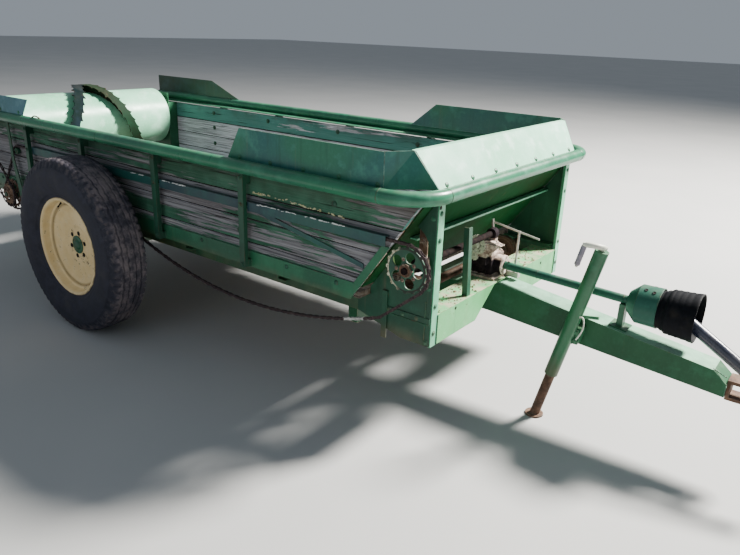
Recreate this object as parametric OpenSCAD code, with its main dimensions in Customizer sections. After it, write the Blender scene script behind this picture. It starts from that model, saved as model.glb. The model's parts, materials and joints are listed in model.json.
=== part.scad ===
// Towed box manure spreader: wooden box, steel rail, drum beater at the rear,
// chain drive down the right side, draft tongue with a screw jack.
// +X points forward to the hitch, +Y to the machine's left, +Z up, ground at z = 0.

/* [Wheels] */
// Radius of the tyre, and height of the axle
tyre_r = 488; // [460:1:520]
// Width of the tyre across its sidewalls
tyre_w = 230; // [200:1:240]
// Radius of the rim flange
rim_r = 275; // [265:1:285]
// Width of the rim from flange to flange
rim_w = 170; // [160:1:180]
// Distance from the centre line to the middle of each tyre
wheel_y = 925; // [920:1:960]

/* [Box] */
// Distance from the centre line to the outer face of the side boards
board_y = 750; // [740:1:752]
// Thickness of the side boards
board_t = 25; // [20:1:28]
// Height of the lower edge of the box sides
side_z0 = 600; // [595:1:606]
// Height of the upper edge of the side boards
side_z1 = 1058; // [1050:1:1060]
// Rear end of the box sides, from the axle
side_x0 = -1620; // [-1660:1:-1600]
// Number of side boards one above another
board_rows = 4; // [3:1:5]
// Distance from the centre line to the rail's axis
rail_y = 830; // [826:1:836]
// Height of the rail's axis
rail_z = 1089; // [1086:1:1094]
// Radius of the rail tube
rail_r = 30; // [26:1:32]
// Front rail's axis, from the axle
rail_x = 2170; // [2165:1:2180]
// Radius of the bend at the front corners of the rail
bend_r = 180; // [150:1:190]

/* [Front frame] */
// Outer face of the front side plates, from the centre line
plate_y = 648; // [640:1:652]
// Front face of the posts and the pan
post_x = 2138; // [2130:1:2142]
// Underside of the front pan
pan_z = 440; // [430:1:446]
// Height of the front pan
pan_h = 137; // [130:1:140]

/* [Beater] */
// Beater axis, from the axle
beater_x = -1430; // [-1440:1:-1420]
// Height of the beater axis
beater_z = 940; // [930:1:950]
// Radius of the drum
drum_r = 213; // [205:1:220]
// Half the length of the drum
drum_l = 620; // [600:1:622]
// Height of the flights above the drum
flight_h = 55; // [45:1:70]

/* [Drive] */
// Distance from the centre line to the middle of the drive chain
chain_y = 763; // [761:1:764]
// Cross shaft and front sprocket axis, from the axle
drive_x = 2082; // [2078:1:2084]
// Height of the cross shaft
drive_z = 800; // [796:1:804]
// Pitch radius of the front sprocket
drive_r = 105; // [100:1:108]
// Radius of the cross shaft
cross_r = 14; // [12:0.5:16]
// Intermediate shaft axis, from the axle
mid_x = -1060; // [-1066:1:-1054]
// Height of the intermediate shaft
mid_z = 572; // [570:1:575]
// Pitch radius of the large intermediate sprocket
mid_r = 105; // [102:1:107]

/* [Tongue] */
// Half the width of the draft tongue
tongue_w = 60; // [55:1:65]
// Front end of the tongue beam, from the axle
tongue_x1 = 3160; // [3140:1:3180]
// Hitch pin hole, from the axle
hitch_x = 3290; // [3280:1:3300]
// Radius of the hitch pin hole
hitch_r = 16; // [13:0.5:18]
// Lean of the jack, top forward, in degrees
jack_lean = 12.9; // [12:0.1:13]

/* [Hidden] */
$fn = 64;

// the part's origin is the middle of the whole length
pto_o = [2930, 0, 617];
pto_tip = [3460, -96, 350];
x_off = -(pto_tip[0] + 12 + beater_x - drum_r - flight_h) / 2;
module place() translate([x_off, 0, 0]) children();

board_yi = board_y - board_t;
slope = [[1800, side_z0], [2128, side_z1]];       // front wall, bottom and top, x and z
function slope_x(z) = slope[0][0] + (z - slope[0][1]) * (slope[1][0] - slope[0][0]) / (slope[1][1] - slope[0][1]);

function slope_x_inv(x) = slope[0][1] + (x - 1.5 - slope[0][0]) * (slope[1][1] - slope[0][1]) / (slope[1][0] - slope[0][0]);

// extrude an outline drawn in x and z across y, from y0 to y1
module xz(y0, y1) translate([0, y1, 0]) rotate([90, 0, 0]) linear_extrude(y1 - y0) children();
// extrude an outline drawn in x and y up z, from z0 to z1
module xy(z0, z1) translate([0, 0, z0]) linear_extrude(z1 - z0) children();
module block(x0, x1, y0, y1, z0, z1) translate([x0, y0, z0]) cube([x1 - x0, y1 - y0, z1 - z0]);
// a round bar between two points of an x-z plane at height y
module ybar(x, z, y0, y1, r) translate([x, y1, z]) rotate([90, 0, 0]) cylinder(r = r, h = y1 - y0);
module bar(a, b, r) {
    d = b - a; l = norm(d);
    translate(a) rotate([0, acos(d[2] / l), atan2(d[1], d[0])]) cylinder(r = r, h = l);
}
module mirror_y() { children(); mirror([0, 1, 0]) children(); }

// ---------------------------------------------------------------- box
module floor_boards() color("#6f675c") place()
    // planks: each from y0, as wide as one share less the joint
    for (i = [0:7]) block(-1276, 1824, -board_yi + 2 + i * (2 * board_yi - 4) / 8, -board_yi - 4 + (i + 1) * (2 * board_yi - 4) / 8, 600, 628);

slat_pitch = 330;
module apron() color("#4a4038") place() {
    // two chain strands, each a flat loop round the floor
    for (y = [-430, 430])
        xz(y - 14, y + 14) difference() {
            union() { translate([-1345, 500]) square([3255, 145]); translate([-1345, 572.5]) circle(r = 72.5); translate([1910, 572.5]) circle(r = 72.5); }
            union() { translate([-1345, 514]) square([3255, 117]); translate([-1345, 572.5]) circle(r = 58.5); translate([1910, 572.5]) circle(r = 58.5); }
        }
    // end shafts with their chain wheels
    for (x = [-1345, 1910]) {
        ybar(x, 572.5, -600, 600, 21);
        for (y = [-430, 430]) ybar(x, 572.5, y - 12, y + 12, 60);
    }
    // slats: above the floor and on the return run
    for (i = [0:8]) {
        block(-1180 + i * slat_pitch, -1150 + i * slat_pitch, -660, 660, 631, 650);
        if (i < 9) block(-1010 + i * slat_pitch, -980 + i * slat_pitch, -560, 560, 494, 513);
    }
}

module frame_sills() color("#2f6b3f") place() mirror_y()
    // channel, open towards the middle
    difference() {
        block(-1600, 2102, -plate_y + 6, -plate_y + 46, 506, 598);
        block(-1601, 2103, -plate_y + 12, -plate_y + 47, 514, 590);
    }

bearers = [-1500, -760, 640, 1330];               // x of each cross bearer
module cross_bearers() color("#2f6b3f") place()
    for (x = bearers) difference() {
        block(x - 25, x + 25, -690, 690, 545, 598);
        // open channel to the front
        block(x - 19, x + 26, -691, 691, 551, 592);
        mirror_y() block(x - 40, x + 40, -plate_y + 5.5, -plate_y + 46.5, 505, 599);
    }

axle_z = tyre_r;
module axle() color("#2b5d39") place() {
    block(-38, 38, -790, 790, axle_z - 64, axle_z);
    mirror_y() block(-38, 38, 700, 790, axle_z - 40, axle_z + 34);
    mirror_y() ybar(0, axle_z, 780, wheel_y + 24, 24.9);
    mirror_y() ybar(0, axle_z, 788, 812, 42);
    // saddles that carry the frame sills
    mirror_y() for (x = [-70, 30]) block(x, x + 40, plate_y - 44, plate_y - 8, axle_z - 60, 506);
}

module side_boards(s) color("#8d8b84") place()
    mirror([0, s, 0]) {
        h = (side_z1 - side_z0 - 8) / board_rows;
        // rows: lower edge, upper edge; each row is cut at its front end to the slope of the front wall
        for (i = [0:board_rows - 1]) let (a = side_z0 + 6 + i * h, b = a + h - 4)
            xz(-board_y, -board_yi) difference() {
                polygon([[side_x0 + 4, a], [slope_x(a) - 8, a], [slope_x(b) - 8, b], [side_x0 + 4, b]]);
                // clearance for the beater shaft on the driven side
                if (s == 0) translate([beater_x, beater_z]) circle(r = 44);
            }
    }

module side_sills() color("#2f7d4c") place() mirror_y() {
    xz(-board_y - 5, -board_y) polygon([[side_x0, side_z0], [slope_x(side_z0), side_z0], [slope_x(678), 678], [side_x0, 678]]);
    // strip up the boards' sloping front ends
    xz(-board_y - 5, -board_y) polygon([[slope_x(678.5) - 40, 678.5], [slope_x(678.5), 678.5], [slope_x(870), 870], [slope_x(870) - 40, 870]]);
    xz(-board_y, -board_yi - 1) polygon([[side_x0, side_z0], [slope_x(side_z0) - 4, side_z0], [slope_x(side_z0) - 4, side_z0 + 5.5], [side_x0, side_z0 + 5.5]]);
}

stake_x = [-1588, -735, -133, 535, 1185];         // x of each stake
module stakes() color("#2a6b40") place() mirror_y()
    for (x = stake_x) {
        // strap that stands off the boards on a spacer at its foot and one at its head
        block(x - 17, x + 17, -797, -775, side_z0 + 4, side_z1);
        block(x - 17, x + 17, -774.5, -board_y - 5, side_z0 + 4, side_z0 + 40);
        block(x - 17, x + 17, -774.5, -board_y, side_z1 - 60, side_z1 - 2);
    }

module side_rails() color("#3a9a5e") place() mirror_y() {
    translate([side_x0, -rail_y, rail_z]) rotate([0, 90, 0]) cylinder(r = rail_r, h = rail_x - bend_r - side_x0);
    // flange between the boards' top edge and the rail
    block(side_x0, rail_x - bend_r, -rail_y, -board_yi, side_z1 + 0.5, side_z1 + 6.5);
}

module front_rail() color("#3a9a5e") place() {
    translate([rail_x, rail_y - bend_r, rail_z]) rotate([90, 0, 0]) cylinder(r = rail_r, h = 2 * (rail_y - bend_r));
    mirror_y() translate([rail_x - bend_r, rail_y - bend_r, rail_z]) rotate_extrude(angle = 90) translate([bend_r, 0]) circle(r = rail_r);
}

module front_slope_panel() color("#2f8a50") place() {
    // sheet along the slope
    xz(-board_yi + 2, board_yi - 2) polygon([
        [slope_x(656) - 8, 656], [slope_x(656), 656], [slope_x(1062), 1062], [slope_x(1062) - 8, 1062]]);
    // ledge under the rail, rounded inside its bends
    xy(1060, 1066) intersection() {
        union() {
            polygon([[slope_x(1060) - 8, -806], [2146, -806], [2146, 806], [slope_x(1060) - 8, 806]]);
            for (m = [-1, 1]) polygon([[1990.5, m * (board_yi + 0.5)], [1990.5, m * 806], [2146, m * 806], [2146, m * (board_yi + 0.5)]]);
        }
        union() {
            translate([1980, -650]) square([166, 1300]);
            for (m = [-1, 1]) translate([rail_x - bend_r, m * (rail_y - bend_r)]) circle(r = 154);
        }
    }
}

module front_stiffener() color("#2f8a50") place() {
    // angle under the front wall
    block(slope_x(890) + 0.5, 2040, -636, 636, 884, 890);
    block(2034, 2040, -636, 636, 881, 890);
}

// front extension: half width, x and z at its foot and at its top
ext = [[660, 2139, 1110], [704, 2051, 1250]];
ext_n = [140, 88] / norm([140, 88]);
module front_extension() color("#5ac57e") place()
    difference() {
        xz(-704, 704) polygon([[ext[0][1], ext[0][2]], [ext[0][1] + 5, ext[0][2]], [ext[1][1] + 5, ext[1][2]], [ext[1][1] - 14, ext[1][2] + 3], [ext[1][1] - 14, ext[1][2] - 2], [ext[1][1], ext[1][2] - 3]]);
        // the ends follow the slant from the foot to the top
        mirror_y() translate([1900, 0, 0]) rotate([90, 0, 90]) linear_extrude(400)
            polygon([[ext[0][0], ext[0][2] - 1], [ext[1][0], ext[1][2] + 4], [ext[1][0] + 60, ext[1][2] + 4], [ext[1][0] + 60, ext[0][2] - 1]]);
    }

wing_rake = [[1120, 1200], [1010, 1190]];         // right and left wing: rear end at the foot and at the top
module wing(s) color("#3c9a63") place() {
    w = wing_rake[s];
    mirror([0, s, 0]) {
        // long flat part beside the box
        xz(-806, -801) polygon([[w[0], 1109], [1985, 1109], [1985, 1250], [w[1], 1250]]);
        // corner: two flat facets from the side to the front extension
        hull() { wing_dot(1985, -803.5, 1111.5); wing_dot(2139, -664, 1112.5); wing_dot(2051, -708, 1249.5); }
        hull() { wing_dot(1985, -803.5, 1111.5); wing_dot(1985, -803.5, 1249.5); wing_dot(2051, -708, 1249.5); }
    }
}
module wing_dot(x, y, z) translate([x, y, z]) cube([4, 4, 4], center = true);

// ---------------------------------------------------------------- front frame
module front_plate(s) color("#2c7a48") place() mirror([0, s, 0]) difference() {
    union() {
        xz(-plate_y, -plate_y + 6) polygon([[1760, pan_z + 70], [1990, pan_z + 4], [post_x - 4, pan_z + 4], [post_x - 4, 1052], [slope_x(1052) + 1.5, 1052], [slope_x(640) + 1.5, 640], [1826, 632], [1826, 598], [1760, 598]]);
        // seam bar low on the plate
        block(1905, post_x - 4, -plate_y - 4, -plate_y, 545, 570);
        if (s == 0) block(1896, 1922, -plate_y - 10, -plate_y - 4, 424, 640);
        if (s == 0) block(1896, 1922, -plate_y - 4, -plate_y, 610, 640);
    }
    // oblong clearance hole round the drive shaft
    if (s == 0) {
        for (z = [768, 846]) translate([2004, -plate_y + 20, z]) rotate([90, 0, 0]) cylinder(r = 108, h = 60);
        block(1896, 2112, -plate_y - 20, -plate_y + 20, 768, 846);
    }
}

module front_posts() color("#4fb573") place() mirror_y()
    difference() {
        block(post_x - 30, post_x, -plate_y + 6.5, -plate_y + 50, pan_z, 1058);
        block(post_x - 31, post_x - 5, -plate_y + 12, -plate_y + 51, pan_z - 1, 1065);
        // the side leg stops below the sloping wall
        xz(-plate_y + 6, -plate_y + 13) polygon([[2060, slope_x_inv(2060)], [post_x - 5, slope_x_inv(post_x - 5)], [post_x - 5, 1100], [2060, 1100]]);
    }

module front_pan() color("#5cc07c") place()
    difference() {
        union() {
            // front face, its inner ends cut back beside the tongue
            translate([post_x - 6, 0, 0]) rotate([90, 0, 90]) linear_extrude(5.5)
                polygon([[-597, pan_z], [-260, pan_z], [-92, pan_z + pan_h], [-597, pan_z + pan_h]]);
            translate([post_x - 6, 0, 0]) rotate([90, 0, 90]) linear_extrude(5.5)
                polygon([[597, pan_z], [200, pan_z], [92, pan_z + pan_h], [597, pan_z + pan_h]]);
            block(2002, post_x - 0.5, -597, 597, pan_z + pan_h - 6, pan_z + pan_h);
            block(2002, 2008, -597, 597, pan_z + pan_h - 50, pan_z + pan_h);
        }
        // notch over the tongue
        block(2000, post_x + 1, -tongue_w - 6, tongue_w + 6, pan_z + pan_h - 60, pan_z + pan_h - 5.9);
    }

module tongue() color("#3d9c60") place() {
    difference() {
        xz(-tongue_w, tongue_w) polygon([[1700, 425], [2110, 416], [3105, 346], [tongue_x1, 342], [tongue_x1, 398], [3105, 446], [2150, 566], [1960, 530], [1700, 500]]);
        xz(-tongue_w + 7, tongue_w - 7) polygon([[1699, 432], [2110, 423], [3105, 353], [tongue_x1 + 1, 349], [tongue_x1 + 1, 391], [3103, 439], [2149, 559], [1961, 523], [1699, 493]]);
    }
    // cross member that carries the tongue between the sills
    block(1700, 1750, -plate_y + 50, -tongue_w, 436, 496);
    block(1700, 1750, tongue_w, plate_y - 50, 436, 496);
    mirror_y() block(1700, 1750, -plate_y + 10, -plate_y + 50, 436, 505.5);
}

module hitch_clevis() color("#8f9a90") place() {
    difference() {
        for (z = [398.5, 327]) xy(z, z + 14) union() {
            translate([3110, -42]) square([hitch_x - 3110, 84]);
            translate([hitch_x, 0]) circle(r = 42);
        }
        translate([hitch_x, 0, 300]) cylinder(r = hitch_r, h = 160);
        translate([3090, -60, 390]) cube([70, 120, 60]);
        translate([3090, -60, 300]) cube([70, 120, 45]);
    }
    block(tongue_x1 + 0.5, tongue_x1 + 14, -42, 42, 334, 405);
}

// ---------------------------------------------------------------- drive
module gearbox() color("#6b4b36") place() {
    difference() {
        union() {
            block(1985, 2092, -62, 62, 583, 686);
            ybar(drive_x, drive_z, -74, -40, 25);
            xz(-70, -44) polygon([[2024, 676], [2090, 676], [drive_x + 24, drive_z], [drive_x - 24, drive_z]]);
            // shoulder that reaches out sideways behind the open gear, and forwards
            xz(-97, -60) polygon([[1994, 648], [1994, 722], [2040, 768], [2092, 772], [2148, 756], [2114, 728], [2078, 688], [2078, 648]]);
            translate([2080, 0, 640]) rotate([0, 90, 0]) cylinder(r = 44, h = 52);
            block(1950, 2120, -84, 84, pan_z + pan_h + 0.5, pan_z + pan_h + 12);
            // boss of the open gear
            ybar(2034, 744, -112, -60, 13);
        }
        ybar(drive_x, drive_z, -110, -20, cross_r + 0.3);
        translate([2070, 0, 640]) rotate([0, 90, 0]) cylinder(r = 19, h = 80);
    }
    // open spoked gear beside the casting
    translate([2034, -98, 744]) rotate([90, 0, 0]) {
        difference() { cylinder(r = 44, h = 12); translate([0, 0, -1]) cylinder(r = 34, h = 14); }
        for (a = [0, 45, 90, 135]) rotate([0, 0, a]) translate([-37, -4, 2]) cube([74, 8, 8]);
    }
}

module gearbox_post() color("#2c7a48") place() {
    // leaning angle section
    translate([post_x - 36, 0, 0]) rotate([90, 0, 90]) linear_extrude(26)
        polygon([[-341, pan_z + pan_h + 0.5], [-335, pan_z + pan_h + 0.5], [-366, 897], [-372, 897]]);
    translate([post_x - 16, 0, 0]) rotate([90, 0, 90]) linear_extrude(6)
        polygon([[-341, pan_z + pan_h + 0.5], [-312, pan_z + pan_h + 0.5], [-343, 897], [-372, 897]]);
}

module control_rods() color("#8f8c84") place() {
    // lever from the casting, the rod that it pulls, and the rod's guide on the pan
    bar([2052, 20, 687], [2044, 6, 850], 6);
    bar([2042, 20, 831], [2272, 40, 786], 4.4);
    bar([2168, 36, 605], [2178, 20.5, 812], 5.2);
    block(2126, 2190, 30, 58, pan_z + pan_h + 0.5, 604);
}

sprocket_t = 6;
module sprocket(y, r) translate([0, -y + sprocket_t / 2, 0]) rotate([90, 0, 0]) difference() {
    cylinder(r = r, h = sprocket_t);
    for (a = [0:72:359]) rotate([0, 0, a]) translate([r * 0.6, 0, -1]) cylinder(r = r * 0.25, h = sprocket_t + 2);
}

module cross_shaft() color("#6b5a48") place() {
    ybar(drive_x, drive_z, -chain_y - 20, -30, cross_r);
    ybar(drive_x, drive_z, -692, -674, 28);
}
module drive_sprocket() color("#54402f") place() difference() {
    union() {
        translate([drive_x, 0, drive_z]) sprocket(chain_y, drive_r - 14);
        ybar(drive_x, drive_z, -chain_y - 12, -chain_y + 14, 27);
    }
    ybar(drive_x, drive_z, -900, -700, cross_r + 0.05);
}
// bearing in the plate's opening, with the hanger that carries it
module shaft_bearing() color("#b9a988") place() difference() {
    union() {
        ybar(drive_x, drive_z, -666, -636, 25);
        // hanger from the sloping wall
        xz(-641.5, -636) polygon([[2056, slope_x_inv(2056) - 2], [2092, slope_x_inv(2092) - 2], [2096, 770], [2066, 758], [2056, 780]]);
        // ear outside the plate, on the front side
        xz(-666, -660.5) polygon([[2062, 768], [2104, 770], [2126, 800], [2114, 832], [2070, 830]]);
    }
    ybar(drive_x, drive_z, -700, -600, cross_r + 0.3);
}

module mid_sprockets() color("#54402f") place() difference() {
    union() {
        translate([mid_x, 0, mid_z]) sprocket(chain_y, mid_r - 14);
        translate([mid_x, 0, mid_z]) sprocket(chain_y + 34, 80 - 14);
        ybar(mid_x, mid_z, -chain_y - 50, -board_y - 6.5, 26);
    }
    ybar(mid_x, mid_z, -900, -700, 14.3);
}

// drive chain: top run inside the guard, over a roller and round the sprocket at the rear,
// and a slack lower run that rests on the guide roller behind the wheel
chain_t = 16;
function arc(cx, cz, r, a0, a1, n) = [for (i = [0:n]) let (a = a0 + (a1 - a0) * i / n) [cx + r * cos(a), cz + r * sin(a)]];
sag_x = 1150; sag_z = 420; sag_k = 0.00022;       // lowest point of the slack run, and its curve
guide = [150, 700, 34];                           // guide roller: x, z, radius of the chain on it
top_roller = [-930, 866, 34];                     // roller at the rear of the top run
function chain_path(o) = concat(
    arc(mid_x, mid_z, mid_r + o, 282.6, 143.4, 14),
    arc(top_roller[0], top_roller[1], top_roller[2] + o, 143.4, 90.1, 5),
    arc(drive_x, drive_z, drive_r + o, 90.1, -52, 14),
    [for (i = [0:16]) let (x = 1960 - i * (1960 - 270) / 16, s = 2 * sag_k * (x - sag_x), l = sqrt(1 + s * s))
        [x + o * s / l, sag_z + sag_k * (x - sag_x) * (x - sag_x) - o / l]],
    arc(guide[0], guide[1], guide[2] - o, 55, 102.6, 5));
module drive_chain() color("#4d4640") place()
    xz(-chain_y - 7, -chain_y + 7) difference() { polygon(chain_path(chain_t / 2)); polygon(chain_path(-chain_t / 2)); }

b2 = [beater_x - mid_x, beater_z - mid_z]; b2a = atan2(b2[1], b2[0]);
b2_tilt = asin((100 - 80) / norm(b2));
function belt(o) = concat(
    arc(mid_x, mid_z, 80 + o, b2a + 90 + b2_tilt, b2a + 270 - b2_tilt, 12),
    arc(beater_x, beater_z, 100 + o, b2a - 90 - b2_tilt, b2a + 90 + b2_tilt, 14));
module beater_chain() color("#4d4640") place()
    xz(-chain_y - 41, -chain_y - 27) difference() { polygon(belt(chain_t / 2)); polygon(belt(-chain_t / 2)); }

// guard over the top run, between the stakes: from x0 to x1
guard_x = [[-712, -156], [-110, 512], [558, 1162], [1208, 1985]];
module chain_guard() color("#3f6f7a") place()
    for (g = guard_x) {
        block(g[0], g[1], -chain_y - 13, -board_y, 917, 920);
        block(g[0], g[1], -chain_y - 14, -chain_y - 11, 877, 920);
        // strip on the boards that runs down from the guard to the front
        if (g[0] > 1200) xz(-board_y - 4, -board_y) polygon([[1224, 872], [1224, 893], [1864, 772], [1864, 751]]);
    }

// strap, rollers and pin that carry the chain at the rear of the right side
module chain_tightener() color("#3c4a3c") place() {
    // bent strap, from the flange under the rail down to the sill
    xz(-chain_y - 22, -chain_y - 16) polygon([[-990, 1058], [-960, 1058], [-945, 810], [-884, 590], [-905, 560], [-935, 566], [-975, 810]]);
    block(-990, -960, -chain_y - 17, -board_y, 1034, 1058);
    block(-915, -886, -chain_y - 17, -board_y - 5, 604, 634);
    // pin of the rear sprocket and its plate under the sill
    block(mid_x - 45, mid_x + 45, -board_y - 5, -board_y, 540, 599.5);
    ybar(mid_x, mid_z, -chain_y - 56, -board_y - 4, 14);
    // roller under the rear end of the top run
    ybar(top_roller[0], top_roller[1], -chain_y - 12, -board_y, 8);
    ybar(top_roller[0], top_roller[1], -chain_y - 9, -board_y - 5, top_roller[2] - 14);
    // guide roller under the slack run
    ybar(guide[0], guide[1], -chain_y - 9, -board_y, 12);
    ybar(guide[0], guide[1], -chain_y - 9, -chain_y + 8, guide[2] - 14);
}

// ---------------------------------------------------------------- rear
module rear_side_plates() color("#2c6b44") place() mirror_y() difference() {
    union() {
        block(side_x0, -1260, -plate_y, -plate_y + 5, 632, 1130);
        block(-1265, -1260, -board_yi + 0.5, -plate_y, 632, 1056);
        block(side_x0, side_x0 + 5, -board_yi + 0.5, -plate_y, 632, 1056);
        ybar(beater_x, beater_z, -plate_y - 26, -plate_y + 5, 58);
    }
    ybar(beater_x, beater_z, -800, -500, 25.3);
}

// front end of each rear upper plate, right and left: x at the foot and at the top
upper_end = [[-656, -580], [-625, -935]];
upper_top = [1216, 1240];                         // height of their top edges
module rear_upper_plates() color("#6f9aa0") place() for (s = [0, 1]) mirror([0, s, 0])
    xz(-833, -829) polygon([[side_x0, 1119.4], [upper_end[s][0], 1119.4], [upper_end[s][1], upper_top[s]], [side_x0, upper_top[s]]]);

module beater_shaft() color("#6b5a48") place() {
    ybar(beater_x, beater_z, -chain_y - 48, 690, 25);
    difference() {
        translate([beater_x, 0, beater_z]) sprocket(chain_y + 34, 100 - 14);
        ybar(beater_x, beater_z, -900, -700, 24.5);
    }
    ybar(beater_x, beater_z, -chain_y - 50, -chain_y - 10, 40);
}

module beater_drum() color("#5fcf86") place() difference() {
    ybar(beater_x, beater_z, -drum_l, drum_l, drum_r);
    ybar(beater_x, beater_z, -drum_l + 5, drum_l - 5, drum_r - 5);
    ybar(beater_x, beater_z, -drum_l - 1, drum_l + 1, 25.05);
}

// flights: on each half of the drum a band winds outwards from the middle, a web on edge that carries a flat cap
band_y0 = 20;                                     // start of a band, out from the middle
band_l = 586;                                     // length of a band along the drum
band_a0 = 95;                                     // angle of its start, from forwards towards up
band_turn = 266;                                  // degrees that a band winds
band_steps = 38;                                  // steps of 7 degrees
cap_a = 18;                                       // half the cap's spread, degrees
cap_t = 6;                                        // thickness of the cap
module band_section() {
    // cap
    polygon(concat(
        [for (a = [-cap_a:cap_a / 2:cap_a]) [(drum_r + flight_h) * cos(a), (drum_r + flight_h) * sin(a)]],
        [for (a = [cap_a:-cap_a / 2:-cap_a]) [(drum_r + flight_h - cap_t) * cos(a), (drum_r + flight_h - cap_t) * sin(a)]]));
    // web
    translate([drum_r + 0.6, -6.5]) square([flight_h - cap_t + 0.4, 13]);
}
module beater_flights() color("#2f6f48") place() translate([beater_x, 0, beater_z]) mirror_y()
    translate([0, -band_y0, 0]) rotate([90, 0, 0])
        linear_extrude(height = band_l, twist = band_turn, slices = band_steps) rotate(band_a0) band_section();

// ---------------------------------------------------------------- wheels
// rim barrel: radius and distance out from the tyre's middle plane
rim_p = [[rim_r, rim_w / 2], [rim_r, rim_w / 2 - 9], [262, rim_w / 2 - 12], [258, 44], [236, 28], [236, -28], [258, -44], [262, 12 - rim_w / 2],
    [rim_r, 9 - rim_w / 2], [rim_r, -rim_w / 2], [255, 3 - rim_w / 2], [250, -48], [228, -32], [228, 32], [250, 48], [255, rim_w / 2 - 3]];
module rim(s) color("#d8d0a0") place() mirror([0, s, 0]) translate([0, -wheel_y, axle_z]) rotate([90, 0, 0]) {
    rotate_extrude($fn = 128) polygon(rim_p);
    // dished disc
    rotate_extrude($fn = 128) polygon([[100, 4], [190, 4], [229, 24], [229, 32], [188, 11], [100, 11]]);
    // hub
    difference() {
        union() {
            translate([0, 0, -96]) cylinder(r = 62, h = 118);
            cylinder(r = 112, h = 12);
            translate([0, 0, 10]) cylinder(r = 46, h = 22);
        }
        translate([0, 0, -120]) cylinder(r = 25, h = 145.5);
    }
}
module tyre(s) color("#2b2c2f") place() mirror([0, s, 0]) translate([0, -wheel_y, axle_z]) rotate([90, 0, 0])
    rotate_extrude($fn = 128) difference() {
        polygon([[262.5, 72], [277, 70], [277, 84], [300, 96], [340, 110], [380, 115], [420, 112], [455, 102], [474, 94], [482, 84], [487, 50], [488, 0],
            [487, -50], [482, -84], [474, -94], [455, -102], [420, -112], [380, -115], [340, -110], [300, -96], [277, -84], [277, -70], [262.5, -72]]);
        polygon([[250, 52], [290, 62], [310, 80], [340, 98], [380, 103], [420, 100], [450, 90], [466, 70], [470, 0],
            [466, -70], [450, -90], [420, -100], [380, -103], [340, -98], [310, -80], [290, -62], [250, -52]]);
    }

// ---------------------------------------------------------------- jack
jack_y = -123;
jack_o = [2420, jack_y, 0];                       // foot point on the ground
module along_jack() translate(jack_o) rotate([0, jack_lean, 0]) children();
module jack_tube() color("#2f8a50") place() {
    along_jack() difference() {
        translate([0, 0, 240]) cylinder(r = 30, h = 630);
        translate([0, 0, 239]) cylinder(r = 24.5, h = 600);
        translate([0, 0, 800]) cylinder(r = 9.5, h = 100);
    }
    // bracket on the tongue's side
    difference() {
        xz(-jack_y_b, -tongue_w - 0.5) polygon([[2484, 400], [2566, 400], [2580, 478], [2498, 478]]);
        along_jack() translate([0, 0, 100]) cylinder(r = 30.5, h = 700);
    }
    // locking pin that stands out of the tube above the bracket
    bar([2571, jack_y, 541.5], [2646, jack_y - 4, 556], 7);
}
jack_y_b = 112;
module jack_leg() color("#6b4a35") place() along_jack() {
    translate([0, 0, 6]) cylinder(r = 22, h = 540);
    rotate([0, -jack_lean, 0]) cylinder(r = 42, h = 8);
}
module jack_crank() color("#b9b6ac") place() along_jack() {
    translate([0, 0, 828]) cylinder(r = 9, h = 66);
    translate([0, 0, 885]) rotate([0, 0, 215]) {
        translate([-12, -9, -4]) cube([98, 18, 8]);
        translate([78, 0, -76]) cylinder(r = 6, h = 76);
        translate([78, 0, -100]) cylinder(r = 12, h = 92);
    }
}

// ---------------------------------------------------------------- driveline
module driveline_shield() color("#3d9c60") place() {
    translate([2134, 0, 640]) rotate([0, 91.8, 0]) difference() {
        cylinder(r = 19, h = 606);
        translate([0, 0, -1]) cylinder(r = 15, h = 608);
    }
    translate([2724, 0, 620]) rotate([0, 90, 0]) rotate_extrude()
        polygon([[20, 0], [46, 0], [84, 42], [86, 130], [82, 130], [80, 46], [42, 6], [20, 6]]);
}
function tongue_top(x) = 566 - (x - 2150) * 120 / 955;
module shield_post() color("#2c7a48") place() {
    // upright, and a foot plate that follows the tongue's top
    xz(-20, 20) polygon([[2690, tongue_top(2690) + 3], [2716, tongue_top(2716) + 3], [2716, 601.5], [2690, 602.5]]);
    xz(-42, 42) polygon([[2664, tongue_top(2664) + 0.5], [2742, tongue_top(2742) + 0.5], [2742, tongue_top(2742) + 6.5], [2664, tongue_top(2664) + 6.5]]);
}
module driveline_yoke() color("#3a3634") place() {
    // shaft inside the shield, from the gearbox to the joint
    bar([2072, 0, 641.9], [2893, 0, 616.1], 14);
    translate([2862, 0, 617]) rotate([0, 90, 0]) cylinder(r = 27, h = 24);
}
module driveline_boot() color("#1d1d1f") place() translate([2852, 0, 618]) rotate([0, 90, 0]) rotate_extrude()
    polygon([[62, 0], [80, 0], [80.5, 8], [96, 40], [104, 150], [98, 152], [90, 44], [72, 14], [62, 12]]);
pto_d = (pto_tip - pto_o) / norm(pto_tip - pto_o);
module pto_shaft() color("#23262e") place() {
    bar(pto_o + 30 * pto_d, pto_tip, 26);
    bar(pto_o - 0 * pto_d, pto_o + 60 * pto_d, 20);
    translate(pto_o) sphere(r = 30);
    ybar(pto_o[0], pto_o[2], -38, 38, 12);
}

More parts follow.
